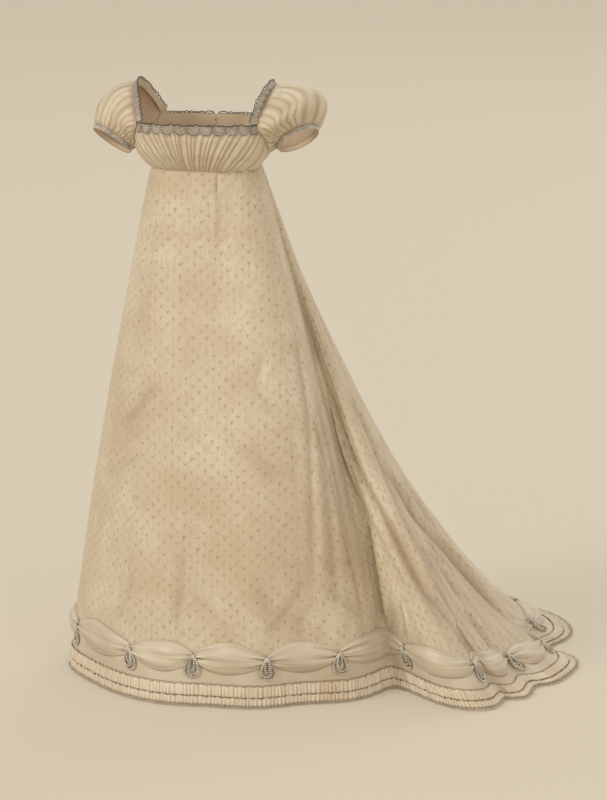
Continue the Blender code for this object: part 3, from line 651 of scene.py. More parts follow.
class Material:
    """A procedural material, with short calls for its nodes."""

    def __init__(self, name, roughness, sheen=0.0, sheen_tint=(1.0, 1.0, 1.0), metallic=0.0):
        self.material = bpy.data.materials.new(name)
        self.material.use_nodes = True
        self.tree = self.material.node_tree
        self.shader = self.tree.nodes["Principled BSDF"]
        self.shader.inputs["Roughness"].default_value = roughness
        self.shader.inputs["Metallic"].default_value = metallic
        self.shader.inputs["Sheen Weight"].default_value = sheen
        self.shader.inputs["Sheen Tint"].default_value = (*sheen_tint, 1.0)

    def node(self, kind, **inputs):
        """A node with its inputs set to values or linked to sockets."""
        made = self.tree.nodes.new(kind)
        for name, value in inputs.items():
            self.put(made.inputs[name.replace("_", " ")], value)
        return made

    def put(self, socket, value):
        """Set or link one input."""
        if isinstance(value, bpy.types.NodeSocket):
            self.tree.links.new(value, socket)
        else:
            socket.default_value = value

    def math(self, operation, a, b=0.0, c=0.0):
        """One sum on numbers."""
        made = self.tree.nodes.new("ShaderNodeMath")
        made.operation = operation
        for socket, value in zip(made.inputs, (a, b, c)):
            self.put(socket, value)
        return made.outputs[0]

    def span(self, value, low, high):
        """0 at low, 1 at high, soft between."""
        made = self.node("ShaderNodeMapRange", Value=value, From_Min=low, From_Max=high)
        made.interpolation_type = "SMOOTHSTEP"
        return made.outputs[0]

    def noise(self, place, scale, detail=2.0, distortion=0.0):
        """Soft noise about 0.5."""
        made = self.node("ShaderNodeTexNoise", Vector=place, Scale=scale, Detail=detail)
        made.inputs["Distortion"].default_value = distortion
        return made.outputs[0]

    def mix(self, factor, a, b):
        """One colour over another."""
        made = self.tree.nodes.new("ShaderNodeMix")
        made.data_type = "RGBA"
        for name, value in (("Factor", factor), ("A", a), ("B", b)):
            sockets = [s for s in made.inputs if s.name == name and s.enabled]
            if name != "Factor" and not isinstance(value, bpy.types.NodeSocket):
                value = (*value, 1.0)
            self.put(sockets[0], value)
        return [s for s in made.outputs if s.enabled][0]

    def place(self):
        """Object coordinates."""
        return self.tree.nodes.new("ShaderNodeTexCoord").outputs["Object"]

    def cloth(self):
        """Cloth coordinates in metres, as two numbers."""
        layer = self.tree.nodes.new("ShaderNodeUVMap")
        layer.uv_map = "cloth"
        split = self.node("ShaderNodeSeparateXYZ", Vector=layer.outputs[0])
        return split.outputs[0], split.outputs[1]

    def tone(self):
        """The painted fold shade kept on each point, below zero where light is painted."""
        layer = self.tree.nodes.new("ShaderNodeAttribute")
        layer.attribute_name = "tone"
        return layer.outputs["Fac"]

    def bump(self, height, strength, distance):
        """Fine relief on the shader."""
        made = self.node("ShaderNodeBump", Height=height)
        made.inputs["Strength"].default_value = strength
        made.inputs["Distance"].default_value = distance
        self.tree.links.new(made.outputs[0], self.shader.inputs["Normal"])

    def colour(self, value):
        """Set the surface's colour."""
        self.put(self.shader.inputs["Base Color"], value)
        return self.material


def sprig(kit, across, down):
    """How much of a small three-leaved sprig lies at a place, in a half-drop repeat."""
    row = kit.math("FLOOR", kit.math("DIVIDE", down, SPRIG_DROP))
    odd = kit.math("FLOORED_MODULO", row, 2.0)
    shift = kit.math("MULTIPLY_ADD", odd, 0.5, kit.math("DIVIDE", across, SPRIG_ACROSS))
    u = kit.math("SUBTRACT", kit.math("FRACT", shift), 0.5)
    v = kit.math("SUBTRACT", kit.math("FRACT", kit.math("DIVIDE", down, SPRIG_DROP)), 0.5)
    u = kit.math("MULTIPLY", u, SPRIG_ACROSS)
    v = kit.math("MULTIPLY", v, SPRIG_DROP)
    side = kit.math("ABSOLUTE", u)
    rise = kit.math("SUBTRACT", v, kit.math("MULTIPLY", side, SPRIG_SPREAD))
    leaf = kit.span(kit.math("ABSOLUTE", kit.math("ADD", rise, SPRIG_DEPTH)), SPRIG_THICK, 0.0002)
    reach = kit.span(side, SPRIG_LEAF, SPRIG_LEAF * 0.6)
    leaves = kit.math("MULTIPLY", leaf, reach)
    stem = kit.span(side, 0.0009, 0.0002)
    below = kit.span(kit.math("ABSOLUTE", kit.math("ADD", v, 0.0038)), 0.0026, 0.0016)
    wide = kit.math("POWER", kit.math("DIVIDE", u, SPRIG_BLOT[0]), 2.0)
    tall = kit.math("POWER", kit.math("DIVIDE", v, SPRIG_BLOT[1]), 2.0)
    blot = kit.span(kit.math("ADD", wide, tall), 1.0, 0.2)
    leaves = kit.math("MAXIMUM", leaves, kit.math("MULTIPLY", blot, 0.8))
    return kit.math("MAXIMUM", leaves, kit.math("MULTIPLY", stem, below))


def streaks(kit, across, down):
    """Fine uneven streaks that run down the cloth."""
    grain = kit.node("ShaderNodeCombineXYZ", X=kit.math("MULTIPLY", across, 150.0),
                     Y=kit.math("MULTIPLY", down, 48.0))
    return kit.span(kit.noise(grain.outputs[0], 1.0, 3.0, 0.5), 0.42, 0.66)


def weave(kit, across, down, pitch):
    """Fine crossed threads."""
    a = kit.math("SINE", kit.math("MULTIPLY", across, 2 * pi / pitch))
    b = kit.math("SINE", kit.math("MULTIPLY", down, 2 * pi / pitch))
    return kit.math("MULTIPLY", a, b)


def aged(kit, base, pale, tan, painted_shade_share=0.82):
    """A cream cloth with paler and browner patches, with painted shade in its folds and painted light
    on its crests and in the side gore's valley.
    """
    place = kit.place()
    patch = kit.span(kit.noise(place, 9.0, 3.0, 0.4), 0.42, 0.66)
    cloud = kit.span(kit.noise(place, 4.5, 3.0, 0.8), 0.45, 0.68)
    colour = kit.mix(kit.math("MULTIPLY", patch, 0.45), base, pale)
    colour = kit.mix(kit.math("MULTIPLY", cloud, 0.55), colour, tan)
    # Painted highlight on crests, where the kept shade is below zero.
    painted_highlight = kit.math("MULTIPLY", kit.math("MAXIMUM", kit.math("MULTIPLY", kit.tone(), -1.0), 0.0), 0.9)
    colour = kit.mix(painted_highlight, colour, pale)
    # Stronger painted light where the kept shade is far below zero, in the side gore's valley.
    deep = kit.math("MAXIMUM", kit.math("MULTIPLY_ADD", kit.tone(), -1.8, -0.9), 0.0)
    colour = kit.mix(deep, colour, PAINTED_VALLEY_LIGHT)
    # Painted shade in folds and hollows, from the kept shade.
    shade = kit.math("MAXIMUM", kit.tone(), 0.0)
    return kit.mix(kit.math("MULTIPLY", shade, painted_shade_share), colour, FOLD_SHADE_AND_WEAR_BROWN)


def silk_material(name, figured):
    """Soft aged silk, with or without its woven sprigs."""
    kit = Material(name, 0.52, sheen=0.30, sheen_tint=(1.0, 0.95, 0.85))
    across, down = kit.cloth()
    colour = aged(kit, SILK_BASE, SILK_PALE, SILK_TAN)
    relief = weave(kit, across, down, 0.0016)
    if figured:
        wobble = kit.math("MULTIPLY_ADD", kit.noise(kit.place(), 55.0), 0.011, -0.0055)
        colour = kit.mix(kit.math("MULTIPLY", streaks(kit, across, down), 0.42), colour, SILK_TAN)
        mark = sprig(kit, kit.math("ADD", across, wobble), kit.math("ADD", down, wobble))
        wear = kit.span(kit.noise(kit.place(), 70.0, 3.0), 0.32, 0.60)
        mark = kit.math("MULTIPLY", mark, kit.math("MULTIPLY_ADD", wear, 0.65, 0.12))
        colour = kit.mix(mark, colour, SPRIG_BROWN)
        relief = kit.math("MULTIPLY_ADD", mark, 1.5, relief)
    else:
        blotch = kit.span(kit.noise(kit.place(), 95.0, 3.0, 0.6), 0.50, 0.68)
        colour = kit.mix(kit.math("MULTIPLY", blotch, 0.42), colour, SILK_TAN)
    kit.bump(relief, 0.25, 0.0004)
    return kit.colour(colour)


def satin_material():
    """Smooth pale satin with a soft gloss."""
    kit = Material("satin", 0.40, sheen=0.20, sheen_tint=(1.0, 0.96, 0.88))
    threads = kit.math("SINE", kit.math("MULTIPLY", kit.cloth()[0], 2 * pi / 0.0011))
    kit.bump(threads, 0.12, 0.0003)
    return kit.colour(aged(kit, SATIN_BASE, SATIN_PALE, SATIN_TAN, 0.7))


def flounce_material():
    """The flounces' soft silk, with painted shade between its gathers, darker along its top and
    bottom rows, and painted light on its crests.
    """
    kit = Material("flounce", 0.58, sheen=0.25, sheen_tint=(1.0, 0.96, 0.88))
    across, down = kit.cloth()
    kit.bump(weave(kit, across, down, 0.0014), 0.25, 0.0004)
    return kit.colour(aged(kit, FLOUNCE_BASE, FLOUNCE_PALE, SILK_TAN, 0.9))


def lining_material():
    """The plain tan lining of bodice and sleeves, and the tape under the cuff's beads."""
    kit = Material("lining", 0.68)
    across, down = kit.cloth()
    kit.bump(weave(kit, across, down, 0.0012), 0.3, 0.0004)
    return kit.colour(aged(kit, LINING_TAN, SILK_TAN, LINING_DARK, 0.5))


def lace_material(name, base, pale, dark, metallic):
    """Thread, net, cord or beads, worn in patches, with painted shade in hollows."""
    kit = Material(name, 0.46, metallic=metallic)
    place = kit.place()
    worn = kit.math("MULTIPLY_ADD", kit.span(kit.noise(place, 220.0, 3.0), 0.38, 0.62), 0.45, 0.55)
    cloud = kit.span(kit.noise(place, 45.0, 2.0), 0.40, 0.70)
    colour = kit.mix(worn, dark, base)
    colour = kit.mix(kit.math("MULTIPLY", cloud, 0.6), colour, pale)
    # Painted shade in the hollows, from the kept shade.
    deep = kit.math("MULTIPLY", kit.math("MAXIMUM", kit.tone(), 0.0), 0.85)
    colour = kit.mix(deep, colour, dark)
    kit.bump(kit.noise(place, 900.0, 2.0), 0.35, 0.0005)
    return kit.colour(colour)


class Skirt:
    """The skirt's outer face on a fine grid, and places on it measured from the hem."""

    def __init__(self):
        self.count = len(SKIRT_LINES) * SKIRT_COLUMNS
        columns = closed_curve([line[1:] for line in SKIRT_LINES], [1, 2], SKIRT_COLUMNS, 360.0)
        share = np.linspace(0.0, 1.0, LINE_STEPS)[:, None]
        top_z = WAIST_Z - SEAM_GAP
        waist = body_points(columns[:, 0], WAIST_Z)
        reach = 1.0 - (1.0 - share) ** columns[:, 3]
        drop = 1.0 - (1.0 - share) ** columns[:, 4]
        x = waist[:, 0] + (columns[:, 1] - waist[:, 0]) * reach
        y = waist[:, 1] + (columns[:, 2] - waist[:, 1]) * reach
        z = top_z + (FLOOR_Z - top_z) * drop
        lines = np.stack([x, y, z], axis=-1)
        half = SKIRT_COLUMNS
        soft_lines = sum(np.roll(lines, k, axis=1) for k in range(-half, half + 1)) / (2 * half + 1)
        self.place_of = np.arange(self.count) / SKIRT_COLUMNS
        first, last = [LINE_NAMES.index(name) for name in FOLDED]
        folded = np.clip(np.minimum(self.place_of - first, last - self.place_of), 0.0, 1.0)
        fade = np.minimum(1.0, share / FOLD_START) * np.maximum(0.0, 1.0 - share / FOLD_FADE)
        lines = (lines + (soft_lines - lines) * (fade * folded)[:, :, None])[::-1]
        steps = np.linalg.norm(np.diff(lines, axis=0), axis=-1)
        lengths = np.concatenate([np.zeros((1, self.count)), np.cumsum(steps, axis=0)])
        low = np.linspace(0.0, TRIM_TOP, TRIM_STEPS + 1)
        high = np.linspace(0.0, 1.0, UPPER_STEPS + 1)[1:]
        self.low_rows = low
        rows = len(low) + len(high)
        self.up = np.zeros((rows, self.count))
        base = np.zeros((rows, self.count, 3))
        for c in range(self.count):
            places = np.concatenate([low, TRIM_TOP + (lengths[-1, c] - TRIM_TOP) * high])
            self.up[:, c] = places
            base[:, c] = along_rows(places, lengths[:, c], lines[:, c])
        self.whole = lengths[-1]
        self.base = base
        normals = grid_normals(base, closed=True)
        relief, self.shade = self.relief()
        self.points = base + normals * (SILK + relief)[:, :, None]
        self.points[-1, :, 2] = base[-1, :, 2]
        self.normals = grid_normals(self.points, closed=True)
        self.inner = base + normals * np.minimum(relief, 0.0)[:, :, None]
        self.inner[-1, :, 2] = base[-1, :, 2]
        hem = base[0]
        spans = np.linalg.norm(np.roll(hem, -1, axis=0) - hem, axis=-1)
        self.round = np.concatenate([[0.0], np.cumsum(spans)])

    def relief(self):
        """Height of the creases over the skirt, with the painted shade kept in their hollows and
        painted light on their banks and in the side gore's valley.
        """
        share = self.up / self.whole
        step = np.linalg.norm(np.roll(self.base, -1, axis=1) - self.base, axis=-1) * SKIRT_COLUMNS
        height, shade = self.short_creases(share, step)
        for path, width, depth, dark in FOLDS:
            away, side, run = self.near_path(path, share, step)
            taper = smooth(np.minimum(run, 1.0 - run) * 5.0 + 0.04)
            trough = np.exp(-(away / width) ** 2)
            bank = np.exp(-((away - 1.7 * width) / width) ** 2) * (0.60 + 0.30 * side)
            height += depth * taper * (bank - trough)
            # Painted shade along the fold and painted light on its bank.
            core = np.exp(-(away / (0.55 * width)) ** 2)
            soft = np.exp(-(away / (2.6 * width)) ** 2) * np.where(side < 0, FOLD_SOFT, FOLD_SOFT / 3)
            shade += taper * (dark * np.maximum(core, soft) - 0.45 * dark * bank * (side > 0))
        # Painted shade over the side gore and train.
        first, last, wash = WASH
        shade += wash * smooth((self.place_of - first) / 1.6) * smooth((last - self.place_of) / 3.0)
        # Painted light in the side gore's valley.
        first, last, low, high, pale = VALLEY
        inside = smooth((self.place_of - first) / 1.2) * smooth((last - self.place_of) / 1.6)
        shade -= pale * inside * smooth((share - low) / 0.10) * smooth((high - share) / 0.12)
        height += self.ripples()
        gather, pleat = self.back_gathers()
        height += BACK_GATHER_RISE * gather * pleat
        shade += 0.5 * np.maximum(-gather, 0.0) * pleat
        clear = smooth((self.up - CREASE_FOOT) / 0.030)
        height *= clear * smooth((self.whole - self.up) / 0.012)
        return height, np.clip(shade * clear + HOLLOW_SHADE * self.hollow(), -1.0, 1.0)

    def short_creases(self, share, step):
        """Height and shade of the short straight creases."""
        height, shade = np.zeros(share.shape), np.zeros(share.shape)
        for at, rise, to, end, width, depth in CREASES:
            run, away, hand = self.stretch((at, rise), (to, end), share, step)
            taper = smooth(np.minimum(run, 1.0 - run) * 3.5 + 0.05)
            trough = np.exp(-(away / width) ** 2)
            bank = np.exp(-((away - 1.5 * width) / width) ** 2) * (0.5 - 0.25 * np.sign(hand))
            height += depth * taper * (bank - trough)
            shade += depth / DARKEST_CREASE * taper * trough
        return height, shade

    def ripples(self):
        """The cloth's slight waves all over, and the puckers above the swags."""
        wander = np.sin(self.place_of * 5.1 + 1.3 * np.sin(self.place_of * 1.7))[None, :]
        drift = np.sin(self.up * 21.0 + 2.0 * np.sin(self.place_of * 2.3)[None, :])
        pucker = np.sin(self.place_of * 2 * pi * 1.31 + 2.0 * np.sin(self.place_of * 0.9))[None, :]
        low = np.exp(-((self.up - PUCKER_PLACE) / 0.050) ** 2)
        return RIPPLE_RISE * wander * drift + PUCKER_RISE * pucker * low

    def back_gathers(self):
        """The gathers below the back of the waist, and how strong they are at each place."""
        back = np.clip(1.0 - abs(self.place_of - BACK_LINE) / BACK_REACH, 0.0, 1.0)[None, :]
        gather = np.cos(self.place_of * 2 * pi * BACK_GATHERS)[None, :]
        fall = (self.whole - self.up) / BACK_GATHER_FALL
        return gather, smooth(back * 3.0) * np.exp(-fall ** 2) * smooth(fall * 12.0)

    def stretch(self, start, end, share, step):
        """Run along a straight stretch, the distance from it, and the distance to one side."""
        (at, rise), (to, top) = start, end
        lines = len(SKIRT_LINES)
        along = ((self.place_of - at + lines / 2) % lines - lines / 2)[None, :] * step
        up = (share - rise) * self.whole
        span_x, span_y = (to - at) * step, (top - rise) * self.whole
        square = span_x ** 2 + span_y ** 2
        run = np.clip((along * span_x + up * span_y) / square, 0.0, 1.0)
        miss_x, miss_y = along - span_x * run, up - span_y * run
        hand = (miss_y * span_x - miss_x * span_y) / np.maximum(np.sqrt(square), 1e-6)
        return run, np.sqrt(miss_x ** 2 + miss_y ** 2), hand

    def near_path(self, path, share, step):
        """Distance from a path of line and share, which side of it, and the run along it."""
        best = np.full(share.shape, 1e3)
        side, run_at = np.zeros(share.shape), np.zeros(share.shape)
        for k, (start, end) in enumerate(zip(path, path[1:])):
            run, away, hand = self.stretch(start, end, share, step)
            closer = away < best
            best = np.where(closer, away, best)
            side = np.where(closer, np.tanh(hand / SIDE_BLEND), side)
            run_at = np.where(closer, (k + run) / (len(path) - 1), run_at)
        return best, side, run_at

    def hollow(self):
        """How deep each place lies in a fold, from the bend of the cloth around it."""
        reach = SKIRT_COLUMNS // 2
        around = (np.roll(self.base, reach, axis=1) + np.roll(self.base, -reach, axis=1)) / 2
        normals = grid_normals(self.base, closed=True)
        depth = np.sum((around - self.base) * normals, axis=-1)
        return smooth(depth / HOLLOW_DEPTH) * smooth(self.up / 0.10)

    def columns_between(self, start, end):
        """Column numbers from one named line to another, past the whole count if need be."""
        first, last = [LINE_NAMES.index(name) * SKIRT_COLUMNS for name in (start, end)]
        last += self.count if last <= first else 0
        return np.arange(first, last + 1)

    def at(self, along, up, lift):
        """Points a distance along the hem, up the cloth and out from its outer face."""
        along, up, lift = np.broadcast_arrays(np.asarray(along, float), up, lift)
        whole = self.round[-1]
        wrapped = along % whole
        column = np.clip(np.searchsorted(self.round, wrapped, side="right") - 1, 0, self.count - 1)
        s = (wrapped - self.round[column]) / (self.round[column + 1] - self.round[column])
        after = (column + 1) % self.count
        step = self.low_rows[1]
        row = np.clip((up / step).astype(int), 0, TRIM_STEPS - 1)
        r = up / step - row

        def across(grid):
            a = grid[row, column] * (1 - s)[..., None] + grid[row, after] * s[..., None]
            b = grid[row + 1, column] * (1 - s)[..., None] + grid[row + 1, after] * s[..., None]
            return a * (1 - r)[..., None] + b * r[..., None]

        return across(self.points) + unit(across(self.normals)) * lift[..., None]


def make_skirt(skirt, silk):
    """The five figured panels, parted at their seams."""
    for name, start, end in SKIRT_PANELS:
        columns = skirt.columns_between(start, end) % skirt.count
        outer, inner = skirt.points[:, columns].copy(), skirt.inner[:, columns].copy()
        shade = skirt.shade[:, columns].copy()
        part_edges(outer, SEAM_PART)
        part_edges(inner, SEAM_PART)
        for edge, next_one in EDGES:
            outer[:, edge] -= skirt.normals[:, columns][:, edge] * SEAM_SINK
            shade[:, edge] = np.maximum(shade[:, edge], SEAM_SHADE)
            shade[:, next_one] = np.maximum(shade[:, next_one], SEAM_SHADE / 2)
        down = (skirt.up - skirt.whole)[:, columns]
        piece = shell(name + "_cloth", [name], outer, inner, silk, down=down, shade=shade)
        declare(outer)


def make_band(skirt, satin):
    """The satin band above the flounces."""
    for side, start, end in (("front", "left_front", "train_corner"),
                             ("back", "train_corner", "left_front")):
        turns, column = np.divmod(skirt.columns_between(start, end), skirt.count)
        along = (skirt.round[column] + skirt.round[-1] * turns)[None, :]
        along[0, 0] += SEAM_GAP
        along[0, -1] -= SEAM_GAP
        up = np.linspace(BAND_BOTTOM, BAND_TOP, BAND_ROWS)[:, None]
        wave = BAND_WAVE * (1 + np.sin(along * 61.0 + 1.5 * np.sin(along * 17.0)))
        swell = np.sin(pi * (up - BAND_BOTTOM) / (BAND_TOP - BAND_BOTTOM))
        outer = skirt.at(along, up, SATIN + SEAM_GAP + wave * swell)
        inner = skirt.at(along, up, SEAM_GAP + 0.0 * along)
        node = "hem_band_" + side
        piece = shell(node + "_satin", [node], outer, inner, satin)
        declare(outer)


def make_flounces(skirt, cloth, heading, loop):
    """Two gathered flounces with a corded heading, the lower one on a looped lace edge."""
    whole = skirt.round[-1]
    place = np.arange(FLOUNCE_WAVES * FLOUNCE_FINE)
    along = (whole * place / len(place))[None, :]
    rows = np.array(FLOUNCE_ROWS)[:, None]
    for name, bottom, foot in (("lower", 2 * SEAM_GAP, FOOT_LACE),
                               ("upper", FLOUNCE_HEIGHT + 2 * SEAM_GAP, 0.0)):
        phase = 2 * pi * place / FLOUNCE_FINE
        phase = phase + 1.1 * np.sin(phase * 0.137) + 0.8 * np.sin(phase * 0.061 + bottom * 90)
        size = 0.70 + 0.30 * np.sin(phase * 0.217 + 40 * bottom)
        wave = (0.5 + 0.5 * np.sin(phase)) ** 0.8 * size
        fine = 0.5 + 0.5 * np.sin(phase * 2.37 + 1.0)
        stand = (0.25 + 0.75 * (1 - rows) ** 0.8) * FLOUNCE_STAND
        stand = stand * (1 - 0.75 * smooth((rows - 0.84) / 0.10))
        stand = stand + HEADING_STAND * smooth((rows - 0.9) / 0.1)
        lift = SATIN + 3 * SEAM_GAP + stand * wave + FLOUNCE_FRILL * fine * (1 - rows)
        dip = FLOUNCE_DIP * np.sin(phase * 0.5) * rows
        tall = FLOUNCE_HEIGHT - 3 * SEAM_GAP - FLOUNCE_CLEAR - foot
        up = np.clip(bottom + foot + tall * rows + dip * (rows > 0.5), bottom, None)
        outer = skirt.at(along, up, lift)
        inner = skirt.at(along, up, lift - SATIN * 0.6)
        # Painted shade in the troughs between gathers, darker along the top and bottom rows, and
        # painted light on the crests.
        thin = np.clip((0.30 - wave) / 0.30, 0, 1) * (0.55 + 0.45 * np.sin(phase * 0.317 + 2.0))
        shade = thin * (0.48 + 0.32 * rows) - 0.25 * smooth((wave - 0.6) / 0.3)
        shade = shade + 0.32 * smooth((rows - 0.90) / 0.06) + 0.20 * smooth((0.12 - rows) / 0.12)
        piece = shell("flounce_%s_silk" % name, ["flounce_" + name], outer, inner, cloth,
                      closed=True, shade=np.clip(shade, -0.4, 1))
        declare(outer, closed=True)
        line = outer[-1] + unit(outer[-1] - inner[-1]) * 0.0004
        line[:, 2] += HEADING_WANDER * np.sin(phase * 0.41 + 1.5 * np.sin(phase * 0.19))
        tubes("flounce_%s_heading" % name, [], [(line[::4], True)], HEADING_RADIUS, heading,
              5)
        if foot:
            make_foot_loops(skirt, name, bottom, along[0], lift[0], loop)


def make_foot_loops(skirt, name, bottom, along, lift, loop):
    """One long thread that loops below a flounce."""
    whole = skirt.round[-1]
    loops = int(whole / LOOP_PITCH)
    steps = np.arange(loops * LOOP_FINE)
    turn = 2 * pi * steps / LOOP_FINE
    spot = whole * steps / len(steps) + LOOP_SWING * np.sin(turn)
    up = bottom + LOOP_LIFT + LOOP_RISE * (1 - np.cos(turn))
    seat = np.interp(spot % whole, along, lift, period=whole)
    line = skirt.at(spot, up, seat + LOOP_LIFT)
    tubes("flounce_%s_loops" % name, [], [(line, True)], LOOP_RADIUS, loop, 4)


def knot_places(skirt):
    """Distances along the hem of the knots, with the first again after a full turn."""
    places = [share * skirt.round[-1] for share in KNOT_SHARES]
    return places + [places[0] + skirt.round[-1]]


def swag_grid(skirt, k, start, end, share):
    """The outer and inner face and the shade of one swag, between two knots."""
    q = np.linspace(-1.0, 1.0, SWAG_ROWS)[:, None]
    along = start + (end - start) * share
    full = np.sin(pi * share ** (1 + 0.12 * sin(k * 2.4))) ** 0.72
    half = SWAG_NECK + (SWAG_HALF_HEIGHT - SWAG_NECK) * full
    crown = 1 + 0.10 * np.sin(share * 7 + k * 1.9)
    up = SWAG_MIDDLE + half * q * np.where(q > 0, crown, 1.0)
    near = np.exp(-share / 0.17) + np.exp(-(1 - share) / 0.17)
    fan = np.cos(q * 8.2 + k * 1.7 + 1.2 * np.sin(share * 3.0 + k))
    fan = fan + 0.6 * np.cos(q * 14.5 - k + 2.0 * share) + 0.5 * np.cos(q * 23.0 + 2.3 * k)
    pinch = smooth(np.minimum(share, 1 - share) / 0.06)
    body = SWAG_BULGE * full ** 0.8 * (1 - abs(q) ** 2.2)
    drape = SWAG_DRAPE * np.sin(q * 5.0 + share * 6.0 + k * 2.1) * full
    crease = SWAG_CREASE * fan * near * pinch
    on_band = smooth((BAND_TOP + 0.010 - up) / 0.008)
    seat = SWAG_SEAT + (2 * SATIN + 4 * SEAM_GAP - SWAG_SEAT) * on_band
    lift = seat + np.maximum(body + (drape + crease) * (1 - abs(q) ** 3.0), 0.0)
    # Painted shade and light across the swag: bands along its creases, darker at the knots, along its
    # top and bottom edges and over its lower half, paler on the fan's crests.
    shade_bands = np.sin(q * 11.0 + share * 3.5 + k * 1.3) * np.sin(q * 4.3 - share * 5.0 + k)
    shade = np.clip(-(fan * near) * 0.85 * pinch, -0.55, 1) + 0.22 * shade_bands * full
    shade = shade + 0.40 * (1 - pinch) + 0.55 * smooth((abs(q) - 0.88) / 0.12)
    shade = shade + 0.30 * smooth((-q - 0.35) / 0.6) * full
    up, lift, along = np.broadcast_arrays(up, lift, along)
    return skirt.at(along, up, lift), skirt.at(along, up, lift - SATIN * 0.8), shade


def make_swags(skirt, satin):
    """Satin puffs between the knots, with creases that run out from each knot."""
    knots = knot_places(skirt)
    ends = SWAG_STRIP_STARTS[1:] + [len(KNOT_SHARES)]
    for strip, (first, last) in enumerate(zip(SWAG_STRIP_STARTS, ends)):
        swags = []
        for k in range(first, last):
            share = np.linspace(0.0, 1.0, SWAG_FINE + 1)[None, :SWAG_FINE + (k == last - 1)]
            swags.append(swag_grid(skirt, k, knots[k], knots[k + 1], share))
        outer, inner, shade = [np.concatenate(grids, axis=1) for grids in zip(*swags)]
        part_edges(outer, SEAM_GAP)
        part_edges(inner, SEAM_GAP)
        name = "swag_%d" % (strip + 1)
        piece = shell(name + "_satin", [name], outer, inner, satin,
                      shade=np.clip(shade, -0.5, 1))
        declare(outer)


def drop_loop(length, half_width, lean, steps):
    """A teardrop outline: across, and down from its top."""
    a = 2 * pi * np.arange(steps) / steps
    across = np.sin(a) * (1 - 0.55 * np.cos(a)) * half_width
    down = (1 - np.cos(a)) / 2 * length
    return across + lean * down, down


def make_pendants(skirt, bead, dark):
    """Nested loops of strung beads at each knot, with a cord behind and a bead rosette above."""
    knots = knot_places(skirt)
    top = SWAG_MIDDLE + SWAG_NECK
    for k in range(len(KNOT_SHARES)):
        places, sizes, cords = [], [], []
        for short, narrow, lean, swing, radius, lift in STRANDS:
            lean = 0.10 * sin(k * 2.2) + lean + swing * (-1) ** k
            across, down = drop_loop(PENDANT_LENGTH - short, PENDANT_HALF_WIDTH * narrow, lean, 160)
            seat = np.interp(down, PENDANT_DROPS, PENDANT_SEATS) + lift
            line = skirt.at(knots[k] + across, top - 0.001 - down, seat)
            ahead = skirt.at(knots[k] + across, top - 0.001 - down, seat + 0.001)
            cords.append(((line - unit(ahead - line) * radius * 0.7)[::4], True))
            gaps = np.linalg.norm(np.roll(line, -1, axis=0) - line, axis=1)
            run = np.concatenate([[0.0], np.cumsum(gaps)])
            count = int(run[-1] / (BEAD_SPACING * radius))
            for spot in np.linspace(0.0, run[-1], count, endpoint=False):
                i = min(int(np.searchsorted(run, spot, side="right")) - 1, len(line) - 1)
                f = (spot - run[i]) / max(gaps[i], 1e-9)
                places.append(line[i] * (1 - f) + line[(i + 1) % len(line)] * f)
                sizes.append(radius * (0.92 + 0.16 * random.random()))
        middle = top - ROSETTE_DROP
        for turn in range(ROSETTE_BEADS):
            a = 2 * pi * turn / ROSETTE_BEADS
            places.append(skirt.at(knots[k] + ROSETTE_RADIUS * cos(a),
                                   middle + ROSETTE_RADIUS * sin(a), RING_BEAD[0]))
            sizes.append(RING_BEAD[1])
        places.append(skirt.at(knots[k], middle, MIDDLE_BEAD[0]))
        sizes.append(MIDDLE_BEAD[1])
        node = "bead_loop_%02d" % (k + 1)
        beads(node + "_beads", [node], places, sizes, bead)
        tubes(node + "_cord", [], cords, PENDANT_CORD_RADIUS, dark, 5)


def pleat_wave(place, sharp, drift):
    """Soft ridges, one a unit, of uneven width and height, from 0 to 1."""
    wander = place + 0.16 * np.sin(place * 1.9 + drift) + 0.09 * np.sin(place * 4.3 - drift)
    wave = abs(np.sin(pi * wander)) ** sharp
    return wave * (0.82 + 0.18 * np.sin(place * 2.7 + drift))


def gather_shade(wave):
    """Painted shade in the narrow troughs of gathers and painted light along their crests."""
    trough = np.clip((0.52 - wave) / 0.52, 0.0, 1.0)
    return 0.92 * trough ** 0.9 - 0.55 * smooth((wave - 0.60) / 0.30)


def bodice_base(degrees, high, rows):
    """The inside of a bodice piece, parted at its edges, with the share up of each row."""
    low = WAIST_Z + SEAM_GAP / 2
    r = np.linspace(0.0, 1.0, rows)[:, None]
    z = low + (high - low)[None, :] * r
    base = body_points(degrees[None, :], z)
    part_edges(base, SEAM_GAP / 2)
    return base, r


